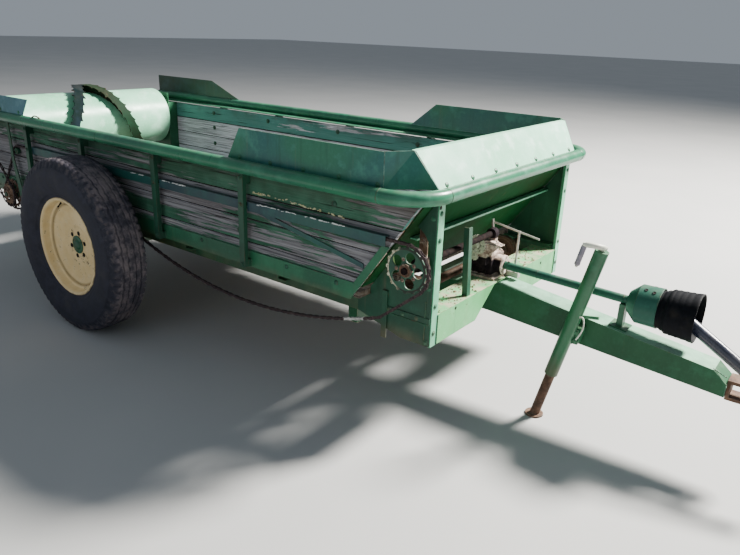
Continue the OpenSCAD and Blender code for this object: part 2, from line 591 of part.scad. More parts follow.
floor_boards();
apron();
frame_sills();
cross_bearers();
axle();
tongue();
hitch_clevis();
side_boards(0);  // right_side_boards
side_boards(1);  // left_side_boards
side_sills();
stakes();
side_rails();
front_rail();
front_slope_panel();
front_stiffener();
front_extension();
wing(0);  // right_wing
wing(1);  // left_wing
front_plate(0);  // right_front_plate
front_plate(1);  // left_front_plate
front_posts();
front_pan();
gearbox();
gearbox_post();
control_rods();
cross_shaft();
shaft_bearing();
drive_sprocket();
chain_guard();
drive_chain();
beater_chain();
chain_tightener();
mid_sprockets();
rear_side_plates();
rear_upper_plates();
beater_drum();
beater_flights();
beater_shaft();
rim(0);  // right_rim
tyre(0);  // right_tyre
rim(1);  // left_rim
tyre(1);  // left_tyre
jack_tube();
jack_leg();
jack_crank();
driveline_shield();
shield_post();
driveline_boot();
driveline_yoke();
pto_shaft();
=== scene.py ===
import bpy, bmesh, math, random, json
import numpy as np
from mathutils import Vector, Matrix, noise as mn


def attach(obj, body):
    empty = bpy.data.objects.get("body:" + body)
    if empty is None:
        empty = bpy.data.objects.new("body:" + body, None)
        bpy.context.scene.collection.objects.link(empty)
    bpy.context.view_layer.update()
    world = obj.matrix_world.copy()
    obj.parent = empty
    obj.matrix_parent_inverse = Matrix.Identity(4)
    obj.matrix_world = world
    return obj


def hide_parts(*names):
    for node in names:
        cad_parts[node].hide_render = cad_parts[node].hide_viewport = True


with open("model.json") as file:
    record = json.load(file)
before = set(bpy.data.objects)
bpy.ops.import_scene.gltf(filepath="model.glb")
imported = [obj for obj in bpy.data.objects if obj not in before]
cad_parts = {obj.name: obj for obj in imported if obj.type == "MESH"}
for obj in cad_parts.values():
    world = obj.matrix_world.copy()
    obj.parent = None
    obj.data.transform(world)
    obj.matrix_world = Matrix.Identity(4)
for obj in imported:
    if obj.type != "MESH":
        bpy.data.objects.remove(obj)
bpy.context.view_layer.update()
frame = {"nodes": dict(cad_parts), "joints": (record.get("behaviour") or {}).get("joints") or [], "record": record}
NODES = frame["nodes"]
XO = [j for j in frame["joints"] if j["name"] == "right_wheel_spin"][0]["pos_m"][0]
rnd = random.Random(7)


def A(x, y, z):
    "a point given from the axle, in metres, in the part's frame"
    return Vector((x + XO, y, z))


# ------------------------------------------------------------------ materials
class Mat:
    def __init__(s, name, rough=0.6, metallic=0.0, spec=0.5):
        s.m = bpy.data.materials.new(name)
        s.m.use_nodes = True
        s.t = s.m.node_tree
        s.t.nodes.clear()
        s.out = s.t.nodes.new("ShaderNodeOutputMaterial")
        s.b = s.t.nodes.new("ShaderNodeBsdfPrincipled")
        s.t.links.new(s.b.outputs[0], s.out.inputs[0])
        s.b.inputs["Roughness"].default_value = rough
        s.b.inputs["Metallic"].default_value = metallic
        s.b.inputs["Specular IOR Level"].default_value = spec
        s.co = s.t.nodes.new("ShaderNodeTexCoord").outputs["Object"]
        s._e = None

    def put(s, sock, v):
        if isinstance(v, bpy.types.NodeSocket):
            s.t.links.new(v, sock)
        elif isinstance(v, (tuple, list)):
            v = tuple(v)
            sock.default_value = v + (1.0,) if len(v) == 3 and sock.type == "RGBA" else v
        else:
            sock.default_value = v

    def map(s, scale=(1, 1, 1), loc=(0, 0, 0), rot=(0, 0, 0)):
        n = s.t.nodes.new("ShaderNodeMapping")
        s.put(n.inputs[0], s.co)
        n.inputs["Location"].default_value = loc
        n.inputs["Rotation"].default_value = rot
        n.inputs["Scale"].default_value = scale
        return n.outputs[0]

    def noise(s, scale, detail=4.0, rough=0.55, vec=None, dist=0.0):
        n = s.t.nodes.new("ShaderNodeTexNoise")
        s.put(n.inputs["Vector"], vec if vec is not None else s.co)
        n.inputs["Scale"].default_value = scale
        n.inputs["Detail"].default_value = detail
        n.inputs["Roughness"].default_value = rough
        n.inputs["Distortion"].default_value = dist
        return n.outputs[0]

    def voronoi(s, scale, vec=None, feature="F1"):
        n = s.t.nodes.new("ShaderNodeTexVoronoi")
        n.feature = feature
        s.put(n.inputs["Vector"], vec if vec is not None else s.co)
        n.inputs["Scale"].default_value = scale
        return n.outputs[0]

    def white(s, v):
        n = s.t.nodes.new("ShaderNodeTexWhiteNoise")
        n.noise_dimensions = "1D"
        s.put(n.inputs["W"], v)
        return n.outputs[0]

    def step(s, v, a, b, lo=0.0, hi=1.0):
        n = s.t.nodes.new("ShaderNodeMapRange")
        n.interpolation_type = "SMOOTHSTEP"
        n.clamp = True
        s.put(n.inputs[0], v)
        n.inputs[1].default_value = a
        n.inputs[2].default_value = b
        n.inputs[3].default_value = lo
        n.inputs[4].default_value = hi
        return n.outputs[0]

    def op(s, kind, a, b=0.0, c=None, clamp=False):
        n = s.t.nodes.new("ShaderNodeMath")
        n.operation = kind
        n.use_clamp = clamp
        s.put(n.inputs[0], a)
        s.put(n.inputs[1], b)
        if c is not None:
            s.put(n.inputs[2], c)
        return n.outputs[0]

    def mix(s, f, a, b, mode="MIX"):
        n = s.t.nodes.new("ShaderNodeMix")
        n.data_type = "RGBA"
        n.blend_type = mode
        n.clamp_factor = True
        s.put(n.inputs[0], f)
        s.put(n.inputs[6], a)
        s.put(n.inputs[7], b)
        return n.outputs[2]

    def xyz(s, vec=None):
        n = s.t.nodes.new("ShaderNodeSeparateXYZ")
        s.put(n.inputs[0], vec if vec is not None else s.co)
        return n.outputs

    def normal(s):
        g = s.t.nodes.new("ShaderNodeNewGeometry")
        return s.xyz(g.outputs["Normal"])

    def edge(s, radius=0.004):
        "1 on the object's own edges"
        bv = s.t.nodes.new("ShaderNodeBevel")
        bv.samples = 4
        bv.inputs["Radius"].default_value = radius
        g = s.t.nodes.new("ShaderNodeNewGeometry")
        d = s.t.nodes.new("ShaderNodeVectorMath")
        d.operation = "DOT_PRODUCT"
        s.t.links.new(bv.outputs[0], d.inputs[0])
        s.t.links.new(g.outputs["Normal"], d.inputs[1])
        return s.step(d.outputs["Value"], 0.99, 0.86)

    def bump(s, h, strength=0.5, dist=0.002, prev=None):
        n = s.t.nodes.new("ShaderNodeBump")
        n.inputs["Strength"].default_value = strength
        n.inputs["Distance"].default_value = dist
        s.put(n.inputs["Height"], h)
        if prev is not None:
            s.t.links.new(prev, n.inputs["Normal"])
        return n.outputs[0]

    def soft(s, radius=0.003):
        bv = s.t.nodes.new("ShaderNodeBevel")
        bv.samples = 4
        bv.inputs["Radius"].default_value = radius
        return bv.outputs[0]

    def done(s, col, rough=None, nrm=None, metal=None):
        s.put(s.b.inputs["Base Color"], col)
        if rough is not None:
            s.put(s.b.inputs["Roughness"], rough)
        if metal is not None:
            s.put(s.b.inputs["Metallic"], metal)
        if nrm is not None:
            s.t.links.new(nrm, s.b.inputs["Normal"])
        return s.m


RUST_D = (0.055, 0.026, 0.014)
RUST_M = (0.125, 0.062, 0.036)
RUST_L = (0.23, 0.135, 0.080)
DUST = (0.46, 0.38, 0.28)


def rust_colour(M):
    a = M.noise(38, 6, 0.7)
    b = M.noise(9, 3, 0.5)
    c = M.mix(M.step(a, 0.36, 0.62), RUST_D, RUST_M)
    return M.mix(M.op("MULTIPLY", M.step(b, 0.5, 0.72), 0.7), c, RUST_L)


def painted(name, base, dark, light, chips=0.5, edge=0.8, dust=0.4, streak=0.5, rough=0.38, fade=0.5, low=None, edge_painted_highlight=None, far_half_shade=None, spec=0.45, top=None):
    """Old paint: two tones, faded patches, vertical streaks, dust on level faces, chips and worn edges down to rust.
    low: (z0, z1) a band of height below which dirt gathers. The edge colour is a painted highlight along the edges,
    the far colour is painted shade on the half where y > 0, and the top colour is painted sunlight on upward faces."""
    M = Mat(name, rough, 0.0, spec)
    big = M.noise(2.3, 3, 0.55)
    mid = M.noise(11, 5, 0.6)
    fine = M.noise(70, 6, 0.68)
    col = M.mix(M.step(big, 0.38, 0.62), base, dark)
    col = M.mix(M.op("MULTIPLY", M.step(mid, 0.50, 0.70), fade), col, light)
    col = M.mix(M.op("MULTIPLY", M.step(fine, 0.45, 0.75), 0.22), col, light)
    # the half where y > 0 darkened: painted shade
    if far_half_shade:
        col = M.mix(M.op("MULTIPLY", M.step(M.xyz()[1], -0.1, 0.1), M.step(mid, 0.3, 0.7, 1.0, 0.8)), col, far_half_shade)
    # vertical run marks
    st = M.noise(1.0, 5, 0.65, M.map((34, 34, 2.2)))
    col = M.mix(M.op("MULTIPLY", M.step(st, 0.53, 0.72), streak * 0.7), col, [c * 0.35 for c in base])
    st2 = M.noise(1.0, 4, 0.6, M.map((21, 21, 1.3), (3, 7, 1)))
    col = M.mix(M.op("MULTIPLY", M.step(st2, 0.60, 0.78), streak * 0.55), col, RUST_L)
    # chips and worn edges
    lim = M.step(big, 0.35, 0.65, 0.70 - 0.10 * chips, 0.76 - 0.05 * chips)
    raw = M.op("SUBTRACT", M.op("ADD", M.op("MULTIPLY", fine, 0.62), M.op("MULTIPLY", mid, 0.38)), lim)
    spot = M.step(raw, -0.015, 0.01)
    e = M.edge(0.0045)
    ew = M.op("MULTIPLY", e, M.step(M.noise(26, 4, 0.7), 0.62 - 0.22 * edge, 0.74 - 0.16 * edge))
    mask = M.op("MAXIMUM", spot, ew)
    rc = rust_colour(M)
    # pale colour along the edges: a painted highlight
    if edge_painted_highlight:
        col = M.mix(M.op("MULTIPLY", e, 0.75), col, edge_painted_highlight)
    col = M.mix(mask, col, rc)
    nz = M.normal()[2]
    up = M.op("MULTIPLY", M.step(nz, 0.55, 0.95), M.step(M.noise(14, 5, 0.65), 0.36, 0.66))
    col = M.mix(M.op("MULTIPLY", up, dust), col, DUST)
    # upward faces paler: painted sunlight on the top
    if top:
        col = M.mix(M.op("MULTIPLY", M.step(nz, 0.80, 0.95), M.step(mid, 0.3, 0.7, 0.85, 0.45)), col, top)
    if low:
        g = M.step(M.xyz()[2], low[1], low[0])
        col = M.mix(M.op("MULTIPLY", g, M.step(mid, 0.35, 0.65, 0.15, 0.65)), col, (0.12, 0.085, 0.05))
    r = M.mix(mask, (rough,) * 3, (0.88,) * 3)
    r = M.mix(M.op("MULTIPLY", M.step(mid, 0.3, 0.8), 0.35), r, (0.75,) * 3)
    h = M.op("SUBTRACT", M.op("MULTIPLY", fine, 0.25), mask)
    return M.done(col, r, M.bump(h, 0.35, 0.0012, M.soft(0.0022)))


def rusty(name, tint=(1, 1, 1), pale=0.3, metal=0.0, dusty=0.25):
    M = Mat(name, 0.8, metal, 0.35)
    c = rust_colour(M)
    w = M.noise(22, 6, 0.7)
    c = M.mix(M.op("MULTIPLY", M.step(w, 0.52, 0.7), pale), c, (0.42 * tint[0], 0.38 * tint[1], 0.33 * tint[2]))
    e = M.edge(0.003)
    c = M.mix(M.op("MULTIPLY", e, 0.45), c, (0.48, 0.42, 0.36))
    nz = M.normal()[2]
    c = M.mix(M.op("MULTIPLY", M.op("MULTIPLY", M.step(nz, 0.5, 0.95), M.step(M.noise(17, 4), 0.4, 0.65)), dusty), c, DUST)
    f = M.noise(120, 5, 0.7)
    return M.done(c, M.step(w, 0.3, 0.8, 0.62, 0.93), M.bump(f, 0.5, 0.0015, M.soft(0.002)))


def steel(name, col=(0.42, 0.41, 0.38), rough=0.42):
    M = Mat(name, rough, 0.75, 0.5)
    a = M.noise(28, 6, 0.7)
    f = M.noise(140, 4, 0.6)
    c = M.mix(M.step(a, 0.45, 0.72), col, [x * 0.45 for x in col])
    sp = M.step(M.noise(46, 6, 0.72), 0.60, 0.68)
    c = M.mix(sp, c, rust_colour(M))
    return M.done(c, M.mix(sp, (rough,) * 3, (0.9,) * 3), M.bump(f, 0.3, 0.0008, M.soft(0.002)), M.step(sp, 0, 1, 0.75, 0.0))


def boards(name, outside=-1):
    """Weathered side boards: grey grain in long lines, cracks, and what is left of the green paint.
    outside: sign of y on the outer face."""
    M = Mat(name, 0.85, 0.0, 0.25)
    x, y, z = M.xyz()
    row = M.op("FLOOR", M.op("DIVIDE", M.op("SUBTRACT", z, 0.604), 0.1125))
    rr = M.white(M.op("ADD", row, 0.37))
    shift = M.op("MULTIPLY", rr, 7.0)
    comb = M.t.nodes.new("ShaderNodeCombineXYZ")
    M.put(comb.inputs[0], M.op("ADD", x, shift))
    M.put(comb.inputs[1], M.op("ADD", y, shift))
    M.put(comb.inputs[2], z)
    def g(scale):
        n = M.t.nodes.new("ShaderNodeMapping")
        M.put(n.inputs[0], comb.outputs[0])
        n.inputs["Scale"].default_value = scale
        return n.outputs[0]
    grain = M.noise(1.0, 7, 0.66, g((2.6, 40, 135)), 0.35)
    grain2 = M.noise(1.0, 5, 0.62, g((6.0, 60, 290)), 0.2)
    wave = M.noise(1.0, 3, 0.5, g((0.9, 10, 26)), 0.6)
    tone = M.noise(1.0, 3, 0.5, g((1.4, 6, 8)))
    wood = M.mix(M.step(grain, 0.34, 0.64), (0.026, 0.024, 0.025), (0.33, 0.325, 0.330))
    wood = M.mix(M.op("MULTIPLY", M.step(grain2, 0.35, 0.68), 0.5), wood, (0.36, 0.35, 0.35))
    wood = M.mix(M.op("MULTIPLY", M.step(tone, 0.48, 0.66), 0.45), wood, (0.15, 0.125, 0.12))
    wood = M.mix(M.op("MULTIPLY", rr, 0.25), wood, (0.17, 0.165, 0.20))
    # paint remnants: long flakes along the grain
    ny = M.normal()[1]
    outer = M.step(M.op("MULTIPLY", ny, float(outside)), 0.3, 0.7)
    inside = M.op("SUBTRACT", 1.0, outer)
    # inner faces lightened towards pale blue-grey: painted light on the shaded inside of the box
    wood = M.mix(M.op("MULTIPLY", inside, M.step(grain, 0.34, 0.60, 0.22, 0.90)), wood, (0.74, 0.75, 0.82))
    flake = M.noise(1.0, 6, 0.66, g((3.4, 26, 62)), 0.3)
    patch = M.noise(1.0, 3, 0.55, g((1.1, 4, 7)))
    top = M.step(z, 0.935, 0.950)
    inner_top = M.op("MULTIPLY", M.op("SUBTRACT", 1.0, outer), top)
    amount = M.op("ADD", M.op("MULTIPLY", patch, 0.55), M.op("MULTIPLY", flake, 0.45))
    lim_out = M.step(rr, 0.0, 1.0, 0.475, 0.53)
    lim_in = M.step(inner_top, 0.0, 1.0, 0.60, 0.405)
    lim = M.op("ADD", M.op("MULTIPLY", lim_out, outer), M.op("MULTIPLY", lim_in, M.op("SUBTRACT", 1.0, outer)))
    pm = M.step(M.op("SUBTRACT", amount, lim), 0.0, 0.022)
    green = M.mix(M.step(M.noise(6, 4), 0.4, 0.65), (0.018, 0.095, 0.048), (0.045, 0.165, 0.095))
    green = M.mix(M.op("MULTIPLY", M.step(grain2, 0.52, 0.72), 0.5), green, (0.09, 0.20, 0.14))
    green = M.mix(M.op("MULTIPLY", inner_top, 0.75), green, (0.045, 0.27, 0.235))
    col = M.mix(M.op("MULTIPLY", pm, 0.92), wood, green)
    # cracks
    ck = M.step(M.noise(1.0, 5, 0.6, g((2.2, 30, 110)), 0.5), 0.335, 0.38, 1.0, 0.0)
    col = M.mix(M.op("MULTIPLY", ck, 0.85), col, (0.012, 0.010, 0.009))
    # bare pale places low on the outside
    bare = M.op("MULTIPLY", M.step(wave, 0.58, 0.66), M.op("MULTIPLY", outer, M.step(z, 0.73, 0.70)))
    col = M.mix(M.op("MULTIPLY", bare, 0.8), col, (0.42, 0.40, 0.38))
    # darker brown blotches high on the boards, just under the rail
    under_rail_dark = M.op("MULTIPLY", M.step(z, 0.96, 1.06), 0.5)
    col = M.mix(M.op("MULTIPLY", under_rail_dark, M.step(M.noise(5, 4), 0.35, 0.6)), col, (0.045, 0.03, 0.022))
    h = M.op("ADD", M.op("MULTIPLY", grain, 1.0), M.op("MULTIPLY", grain2, 0.5))
    h = M.op("SUBTRACT", h, M.op("MULTIPLY", ck, 1.4))
    h = M.op("ADD", h, M.op("MULTIPLY", pm, 0.35))
    return M.done(col, M.mix(pm, (0.9,) * 3, (0.6,) * 3), M.bump(h, 0.9, 0.004, M.soft(0.003)))


def floor_wood(name):
    M = Mat(name, 0.9, 0.0, 0.2)
    g1 = M.noise(1.0, 6, 0.62, M.map((2.2, 60, 60)), 0.3)
    g2 = M.noise(1.0, 3, 0.5, M.map((1.0, 7, 7)))
    c = M.mix(M.step(g1, 0.3, 0.7), (0.05, 0.040, 0.032), (0.26, 0.22, 0.18))
    c = M.mix(M.op("MULTIPLY", M.step(g2, 0.45, 0.62), 0.7), c, (0.12, 0.085, 0.055))
    return M.done(c, None, M.bump(g1, 0.7, 0.003, M.soft(0.003)))


def tyre_mat(name):
    M = Mat(name, 0.8, 0.0, 0.35)
    x, y, z = M.xyz()
    dx = M.op("SUBTRACT", x, XO)
    dz = M.op("SUBTRACT", z, 0.488)
    r = M.op("SQRT", M.op("ADD", M.op("MULTIPLY", dx, dx), M.op("MULTIPLY", dz, dz)))
    big = M.noise(4.5, 4, 0.6)
    mid = M.noise(24, 6, 0.68)
    fine = M.noise(130, 5, 0.7)
    # dark rubber with a blue tint: painted sky reflection
    c = M.mix(M.step(mid, 0.35, 0.7), (0.014, 0.015, 0.025), (0.037, 0.038, 0.056))
    tread = M.step(r, 0.462, 0.484)
    rib = M.step(r, 0.477, 0.4865)
    c = M.mix(M.op("MULTIPLY", tread, M.step(mid, 0.25, 0.75, 0.35, 0.8)), c, (0.064, 0.058, 0.076))
    dusty = M.op("MULTIPLY", rib, M.step(M.op("ADD", M.op("MULTIPLY", big, 0.5), M.op("MULTIPLY", mid, 0.5)), 0.43, 0.60))
    c = M.mix(M.op("MULTIPLY", dusty, 0.55), c, (0.27, 0.22, 0.22))
    # cracks and dried mud near the bead and the shoulder
    sh = M.op("MULTIPLY", M.op("MULTIPLY", M.step(r, 0.43, 0.468), M.step(r, 0.486, 0.47)), M.step(mid, 0.48, 0.62))
    c = M.mix(M.op("MULTIPLY", sh, 0.45), c, (0.16, 0.125, 0.11))
    sw = M.op("MULTIPLY", M.step(r, 0.44, 0.40), M.step(big, 0.5, 0.68))
    c = M.mix(M.op("MULTIPLY", sw, 0.35), c, (0.060, 0.055, 0.060))
    return M.done(c, M.step(mid, 0.3, 0.8, 0.62, 0.92), M.bump(M.op("ADD", mid, M.op("MULTIPLY", fine, 0.6)), 0.45, 0.002))


def cream(name):
    M = Mat(name, 0.42, 0.0, 0.45)
    x, y, z = M.xyz()
    dx = M.op("SUBTRACT", x, XO)
    dz = M.op("SUBTRACT", z, 0.488)
    r = M.op("SQRT", M.op("ADD", M.op("MULTIPLY", dx, dx), M.op("MULTIPLY", dz, dz)))
    big = M.noise(5, 4, 0.6)
    mid = M.noise(22, 6, 0.66)
    fine = M.noise(85, 5, 0.7)
    c = M.mix(M.step(big, 0.35, 0.65), (0.90, 0.70, 0.38), (0.78, 0.58, 0.28))
    c = M.mix(M.op("MULTIPLY", M.step(mid, 0.45, 0.75), 0.5), c, (0.84, 0.70, 0.44))
    # brown dirt with painted shade in the corners of the steps, and rust specks round the hub
    band = M.op("MULTIPLY", M.step(r, 0.215, 0.229), M.step(r, 0.243, 0.231))
    c = M.mix(M.op("MULTIPLY", band, 0.6), c, (0.25, 0.16, 0.06))
    near = M.step(r, 0.15, 0.06, 0.0, 1.0)
    spk = M.step(M.op("SUBTRACT", fine, M.op("MULTIPLY", near, 0.13)), 0.66, 0.69)
    spk2 = M.step(M.op("ADD", M.op("MULTIPLY", fine, 0.5), M.op("ADD", M.op("MULTIPLY", mid, 0.5), M.op("MULTIPLY", near, 0.06))), 0.60, 0.625)
    rm = M.op("MAXIMUM", spk, spk2)
    e = M.op("MULTIPLY", M.step(r, 0.268, 0.2745), M.step(mid, 0.42, 0.55))
    rm = M.op("MAXIMUM", rm, M.op("MULTIPLY", e, 0.8))
    c = M.mix(M.op("MULTIPLY", rm, 0.85), c, rust_colour(M))
    return M.done(c, M.mix(rm, (0.45,) * 3, (0.85,) * 3), M.bump(M.op("SUBTRACT", M.op("MULTIPLY", fine, 0.3), rm), 0.3, 0.001))


def plain(name, base, var, rough=0.6, spec=0.4, bump=0.3, scale=40, dust=0.2):
    M = Mat(name, rough, 0.0, spec)
    a = M.noise(scale, 5, 0.65)
    b = M.noise(scale * 0.2, 3, 0.5)
    c = M.mix(M.step(a, 0.35, 0.7), base, var)
    c = M.mix(M.op("MULTIPLY", M.step(b, 0.5, 0.7), dust), c, DUST)
    return M.done(c, M.step(a, 0.3, 0.8, rough - 0.08, rough + 0.12), M.bump(a, bump, 0.001, M.soft(0.0015)))


G = (0.020, 0.128, 0.058)
GD = (0.010, 0.072, 0.034)
GL = (0.055, 0.235, 0.125)
green = painted("paint_green", G, GD, GL, 0.5, 0.7, 0.18, 0.45, 0.36)
green_low = painted("paint_green_low", (0.022, 0.13, 0.055), GD, (0.05, 0.22, 0.10), 0.35, 0.6, 0.2, 0.5, 0.40, 0.5, (0.45, 0.62))
green_side = painted("paint_green_side", (0.022, 0.150, 0.070), (0.014, 0.095, 0.048), (0.045, 0.21, 0.11), 0.30, 0.5, 0.15, 0.4, 0.42, 0.4, (0.58, 0.64))
plate_green = painted("paint_green_plate", (0.013, 0.078, 0.040), (0.009, 0.052, 0.029), (0.028, 0.13, 0.075), 0.30, 0.5, 0.15, 0.5, 0.42, 0.4, (0.44, 0.52))
slope_green = painted("paint_slope", (0.007, 0.058, 0.018), (0.018, 0.036, 0.013), (0.020, 0.095, 0.045), 0.45, 0.6, 0.03, 0.3, 0.60, 0.35, spec=0.02)
rail_paint = painted("paint_rail", (0.026, 0.170, 0.085), (0.020, 0.125, 0.070), (0.060, 0.25, 0.15), 0.45, 0.35, 0.10, 0.20, 0.27, 0.5)
# pale copy of the green: painted sunlight on the front extension
green_painted_sunlight = painted("paint_pale_green", (0.36, 0.72, 0.52), (0.26, 0.62, 0.40), (0.62, 0.88, 0.76), 0.25, 0.45, 0.10, 0.12, 0.32, 0.6)
# pan: its pale edge colour is a painted highlight along the edges
pan_green = painted("paint_pan", (0.12, 0.45, 0.17), (0.09, 0.36, 0.13), (0.26, 0.58, 0.30), 0.95, 0.95, 0.95, 0.35, 0.42, 0.5, None, (0.62, 0.60, 0.42))
post_green = painted("paint_post", (0.14, 0.50, 0.29), (0.10, 0.38, 0.21), (0.30, 0.66, 0.46), 0.30, 0.8, 0.2, 0.25, 0.34, 0.5)
# wing: its pale edge colour is a painted highlight along the edges
wing_green = painted("paint_wing", (0.024, 0.160, 0.088), (0.020, 0.120, 0.112), (0.060, 0.26, 0.19), 0.42, 0.9, 0.14, 0.45, 0.36, 0.7, None, (0.30, 0.50, 0.40))
# rear upper plates: blue-green as painted sky light on the near plate, far plate darkened as painted shade
rear_plates_painted_skylight = painted("paint_blue_green", (0.060, 0.18, 0.225), (0.045, 0.15, 0.17), (0.16, 0.31, 0.34), 0.30, 0.7, 0.12, 0.25, 0.42, 0.6, far_half_shade=(0.020, 0.045, 0.020))
# dark green with a blue tint: painted sky reflection on the guard's sheet
guard_painted_skylight = painted("paint_guard", (0.014, 0.045, 0.060), (0.014, 0.085, 0.070), (0.03, 0.13, 0.11), 0.45, 0.5, 0.08, 0.25, 0.38, 0.6)
drum_paint = painted("paint_drum", (0.30, 0.68, 0.45), (0.20, 0.56, 0.34), (0.52, 0.84, 0.66), 0.25, 0.3, 0.08, 0.08, 0.30, 0.6)
# near-black green on the bands: painted shade
flight_paint_painted_shade = painted("paint_flights", (0.005, 0.032, 0.014), (0.012, 0.018, 0.009), (0.014, 0.060, 0.030), 0.60, 0.9, 0.04, 0.35, 0.70, 0.35, spec=0.12)
# near-black blue on the near band: painted shade with a painted sky-light tint
flight_blue_painted_shade = painted("paint_flights_blue", (0.006, 0.009, 0.018), (0.005, 0.013, 0.012), (0.016, 0.030, 0.046), 0.50, 0.6, 0.03, 0.25, 0.80, 0.35, spec=0.06)
strap_paint = painted("paint_strap", (0.022, 0.095, 0.055), GD, (0.05, 0.16, 0.11), 0.7, 1.0, 0.2, 0.4, 0.5)
# tongue: painted highlight along the edges and painted sunlight on its upward faces
tongue_paint = painted("paint_tongue", (0.010, 0.094, 0.034), (0.007, 0.064, 0.024), (0.030, 0.15, 0.075), 0.28, 0.7, 0.12, 0.25, 0.46, 0.40, None, (0.20, 0.36, 0.27), spec=0.32, top=(0.30, 0.58, 0.40))
jack_green = painted("paint_jack", (0.020, 0.135, 0.055), (0.014, 0.095, 0.040), (0.050, 0.21, 0.11), 0.28, 0.7, 0.12, 0.25, 0.32, 0.45, (0.24, 0.38))
rust = rusty("rust_steel", (1, 1, 1), 0.22)
rust_dark = rusty("rust_dark", (0.8, 0.8, 0.8), 0.12, 0.0, 0.12)
casting = rusty("rust_casting", (1.25, 0.95, 0.85), 0.75, 0.0, 0.7)
# pale rust: painted sunlight on the opening's torn edge
torn_edge_painted_sunlight = rusty("rust_pale", (1.55, 1.40, 1.15), 0.95, 0.0, 0.5)
# pale cream bearing colour: painted sunlight falling through the opening
bearing_painted_sunlight = rusty("bearing_pale", (1.45, 1.30, 1.12), 0.9, 0.0, 0.3)
chain_m = plain("rust_chain", (0.020, 0.014, 0.016), (0.085, 0.060, 0.060), 0.85, 0.2, 0.6, 130, 0.04)
worn = steel("bare_steel", (0.50, 0.48, 0.43))
bright = steel("bright_steel", (0.80, 0.79, 0.75), 0.30)
side_r = boards("boards_right", -1)
side_l = boards("boards_left", 1)
floor_m = floor_wood("boards_floor")
tyre_m = tyre_mat("tyre_rubber")
cream_m = cream("rim_cream")
boot_m = plain("boot_rubber", (0.0016, 0.0020, 0.0036), (0.0055, 0.0064, 0.0095), 0.66, 0.10, 0.25, 60, 0.03)
pto_m = plain("pto_tube", (0.012, 0.016, 0.032), (0.024, 0.030, 0.052), 0.28, 0.6, 0.15, 30, 0.08)
# near-black: painted shade inside holes
holes_painted_shade = plain("black_hole", (0.006, 0.006, 0.006), (0.014, 0.012, 0.011), 0.8, 0.2, 0.3, 40, 0.05)
grip_m = plain("grip_grey", (0.17, 0.16, 0.21), (0.30, 0.28, 0.33), 0.45, 0.4)
dirt_m = plain("dirt_crumbs", (0.22, 0.15, 0.10), (0.46, 0.36, 0.26), 0.95, 0.1, 0.5, 60, 0.3)
# pale yellow-green lip: painted sunlight through the opening
lip_painted_sunlight = painted("paint_lip", (0.36, 0.55, 0.20), (0.28, 0.46, 0.17), (0.55, 0.62, 0.36), 0.45, 0.9, 0.2, 0.2, 0.4, 0.5)
# darker copy of the green: painted shade on the stakes, their bolts and the gearbox post
stakes_painted_shade = painted("paint_stakes", (0.013, 0.078, 0.042), (0.009, 0.050, 0.028), (0.030, 0.13, 0.08), 0.45, 0.7, 0.12, 0.45, 0.42)
gear_pale = plain("gear_pale", (0.50, 0.50, 0.38), (0.78, 0.78, 0.66), 0.6, 0.3, 0.6, 90, 0.0)
# white pieces: painted highlight along the guard's top edge
chips_painted_highlight = plain("chips_white", (0.60, 0.62, 0.60), (0.86, 0.86, 0.83), 0.5, 0.3, 0.4, 120, 0.0)


def gearcase(name):
    """pale and pinkish where it catches dirt and weather, nearly black on the lower block and behind the open gears as
    painted shade
    """
    M = Mat(name, 0.85, 0.0, 0.06)
    x, y, z = M.xyz()
    lx = M.op("SUBTRACT", x, XO)
    a = M.noise(30, 6, 0.7)
    f = M.noise(95, 5, 0.7)
    pale = M.mix(M.step(a, 0.36, 0.66), (0.26, 0.17, 0.14), (0.72, 0.59, 0.50))
    pale = M.mix(M.op("MULTIPLY", M.step(f, 0.50, 0.68), 0.55), pale, (0.86, 0.80, 0.70))
    pale = M.mix(M.op("MULTIPLY", M.step(f, 0.42, 0.34), 0.7), pale, (0.07, 0.035, 0.025))
    # near-black case colour: painted shade
    dark = M.mix(M.step(a, 0.36, 0.68), (0.008, 0.006, 0.009), (0.030, 0.021, 0.024))
    def ring(cx, cz, r0, r1):
        dx, dz = M.op("SUBTRACT", lx, cx), M.op("SUBTRACT", z, cz)
        return M.step(M.op("SQRT", M.op("ADD", M.op("MULTIPLY", dx, dx), M.op("MULTIPLY", dz, dz))), r0, r1)
    flange = M.op("MAXIMUM", M.op("MULTIPLY", M.step(lx, 2.089, 2.096), M.step(z, 0.664, 0.674)), M.step(lx, 2.1285, 2.1300))
    w = M.op("MAXIMUM", M.step(z, 0.682, 0.690), M.op("MAXIMUM", flange, M.step(z, 0.597, 0.591)))
    w = M.op("MULTIPLY", w, M.step(z, 0.776, 0.782, 1.0, 0.0))
    # dark behind the open gears: painted shade in the recess
    w = M.op("MULTIPLY", w, M.op("MULTIPLY", ring(2.034, 0.744, 0.033, 0.037), ring(2.022, 0.684, 0.013, 0.017)))
    return M.done(M.mix(w, dark, pale), M.step(a, 0.3, 0.8, 0.7, 0.95), M.bump(M.op("ADD", a, M.op("MULTIPLY", f, 0.5)), 0.7, 0.004, M.soft(0.003)))


gearcase_painted_shade = gearcase("casting_case")
shield_paint = painted("paint_shield", (0.015, 0.105, 0.060), (0.012, 0.080, 0.055), (0.040, 0.17, 0.12), 0.28, 0.7, 0.10, 0.25, 0.42, 0.45, spec=0.3)
# near-black cross shaft: painted shade
shaft_dark = plain("shaft_dark", (0.007, 0.005, 0.006), (0.028, 0.019, 0.017), 0.85, 0.04, 0.5, 60, 0.02)
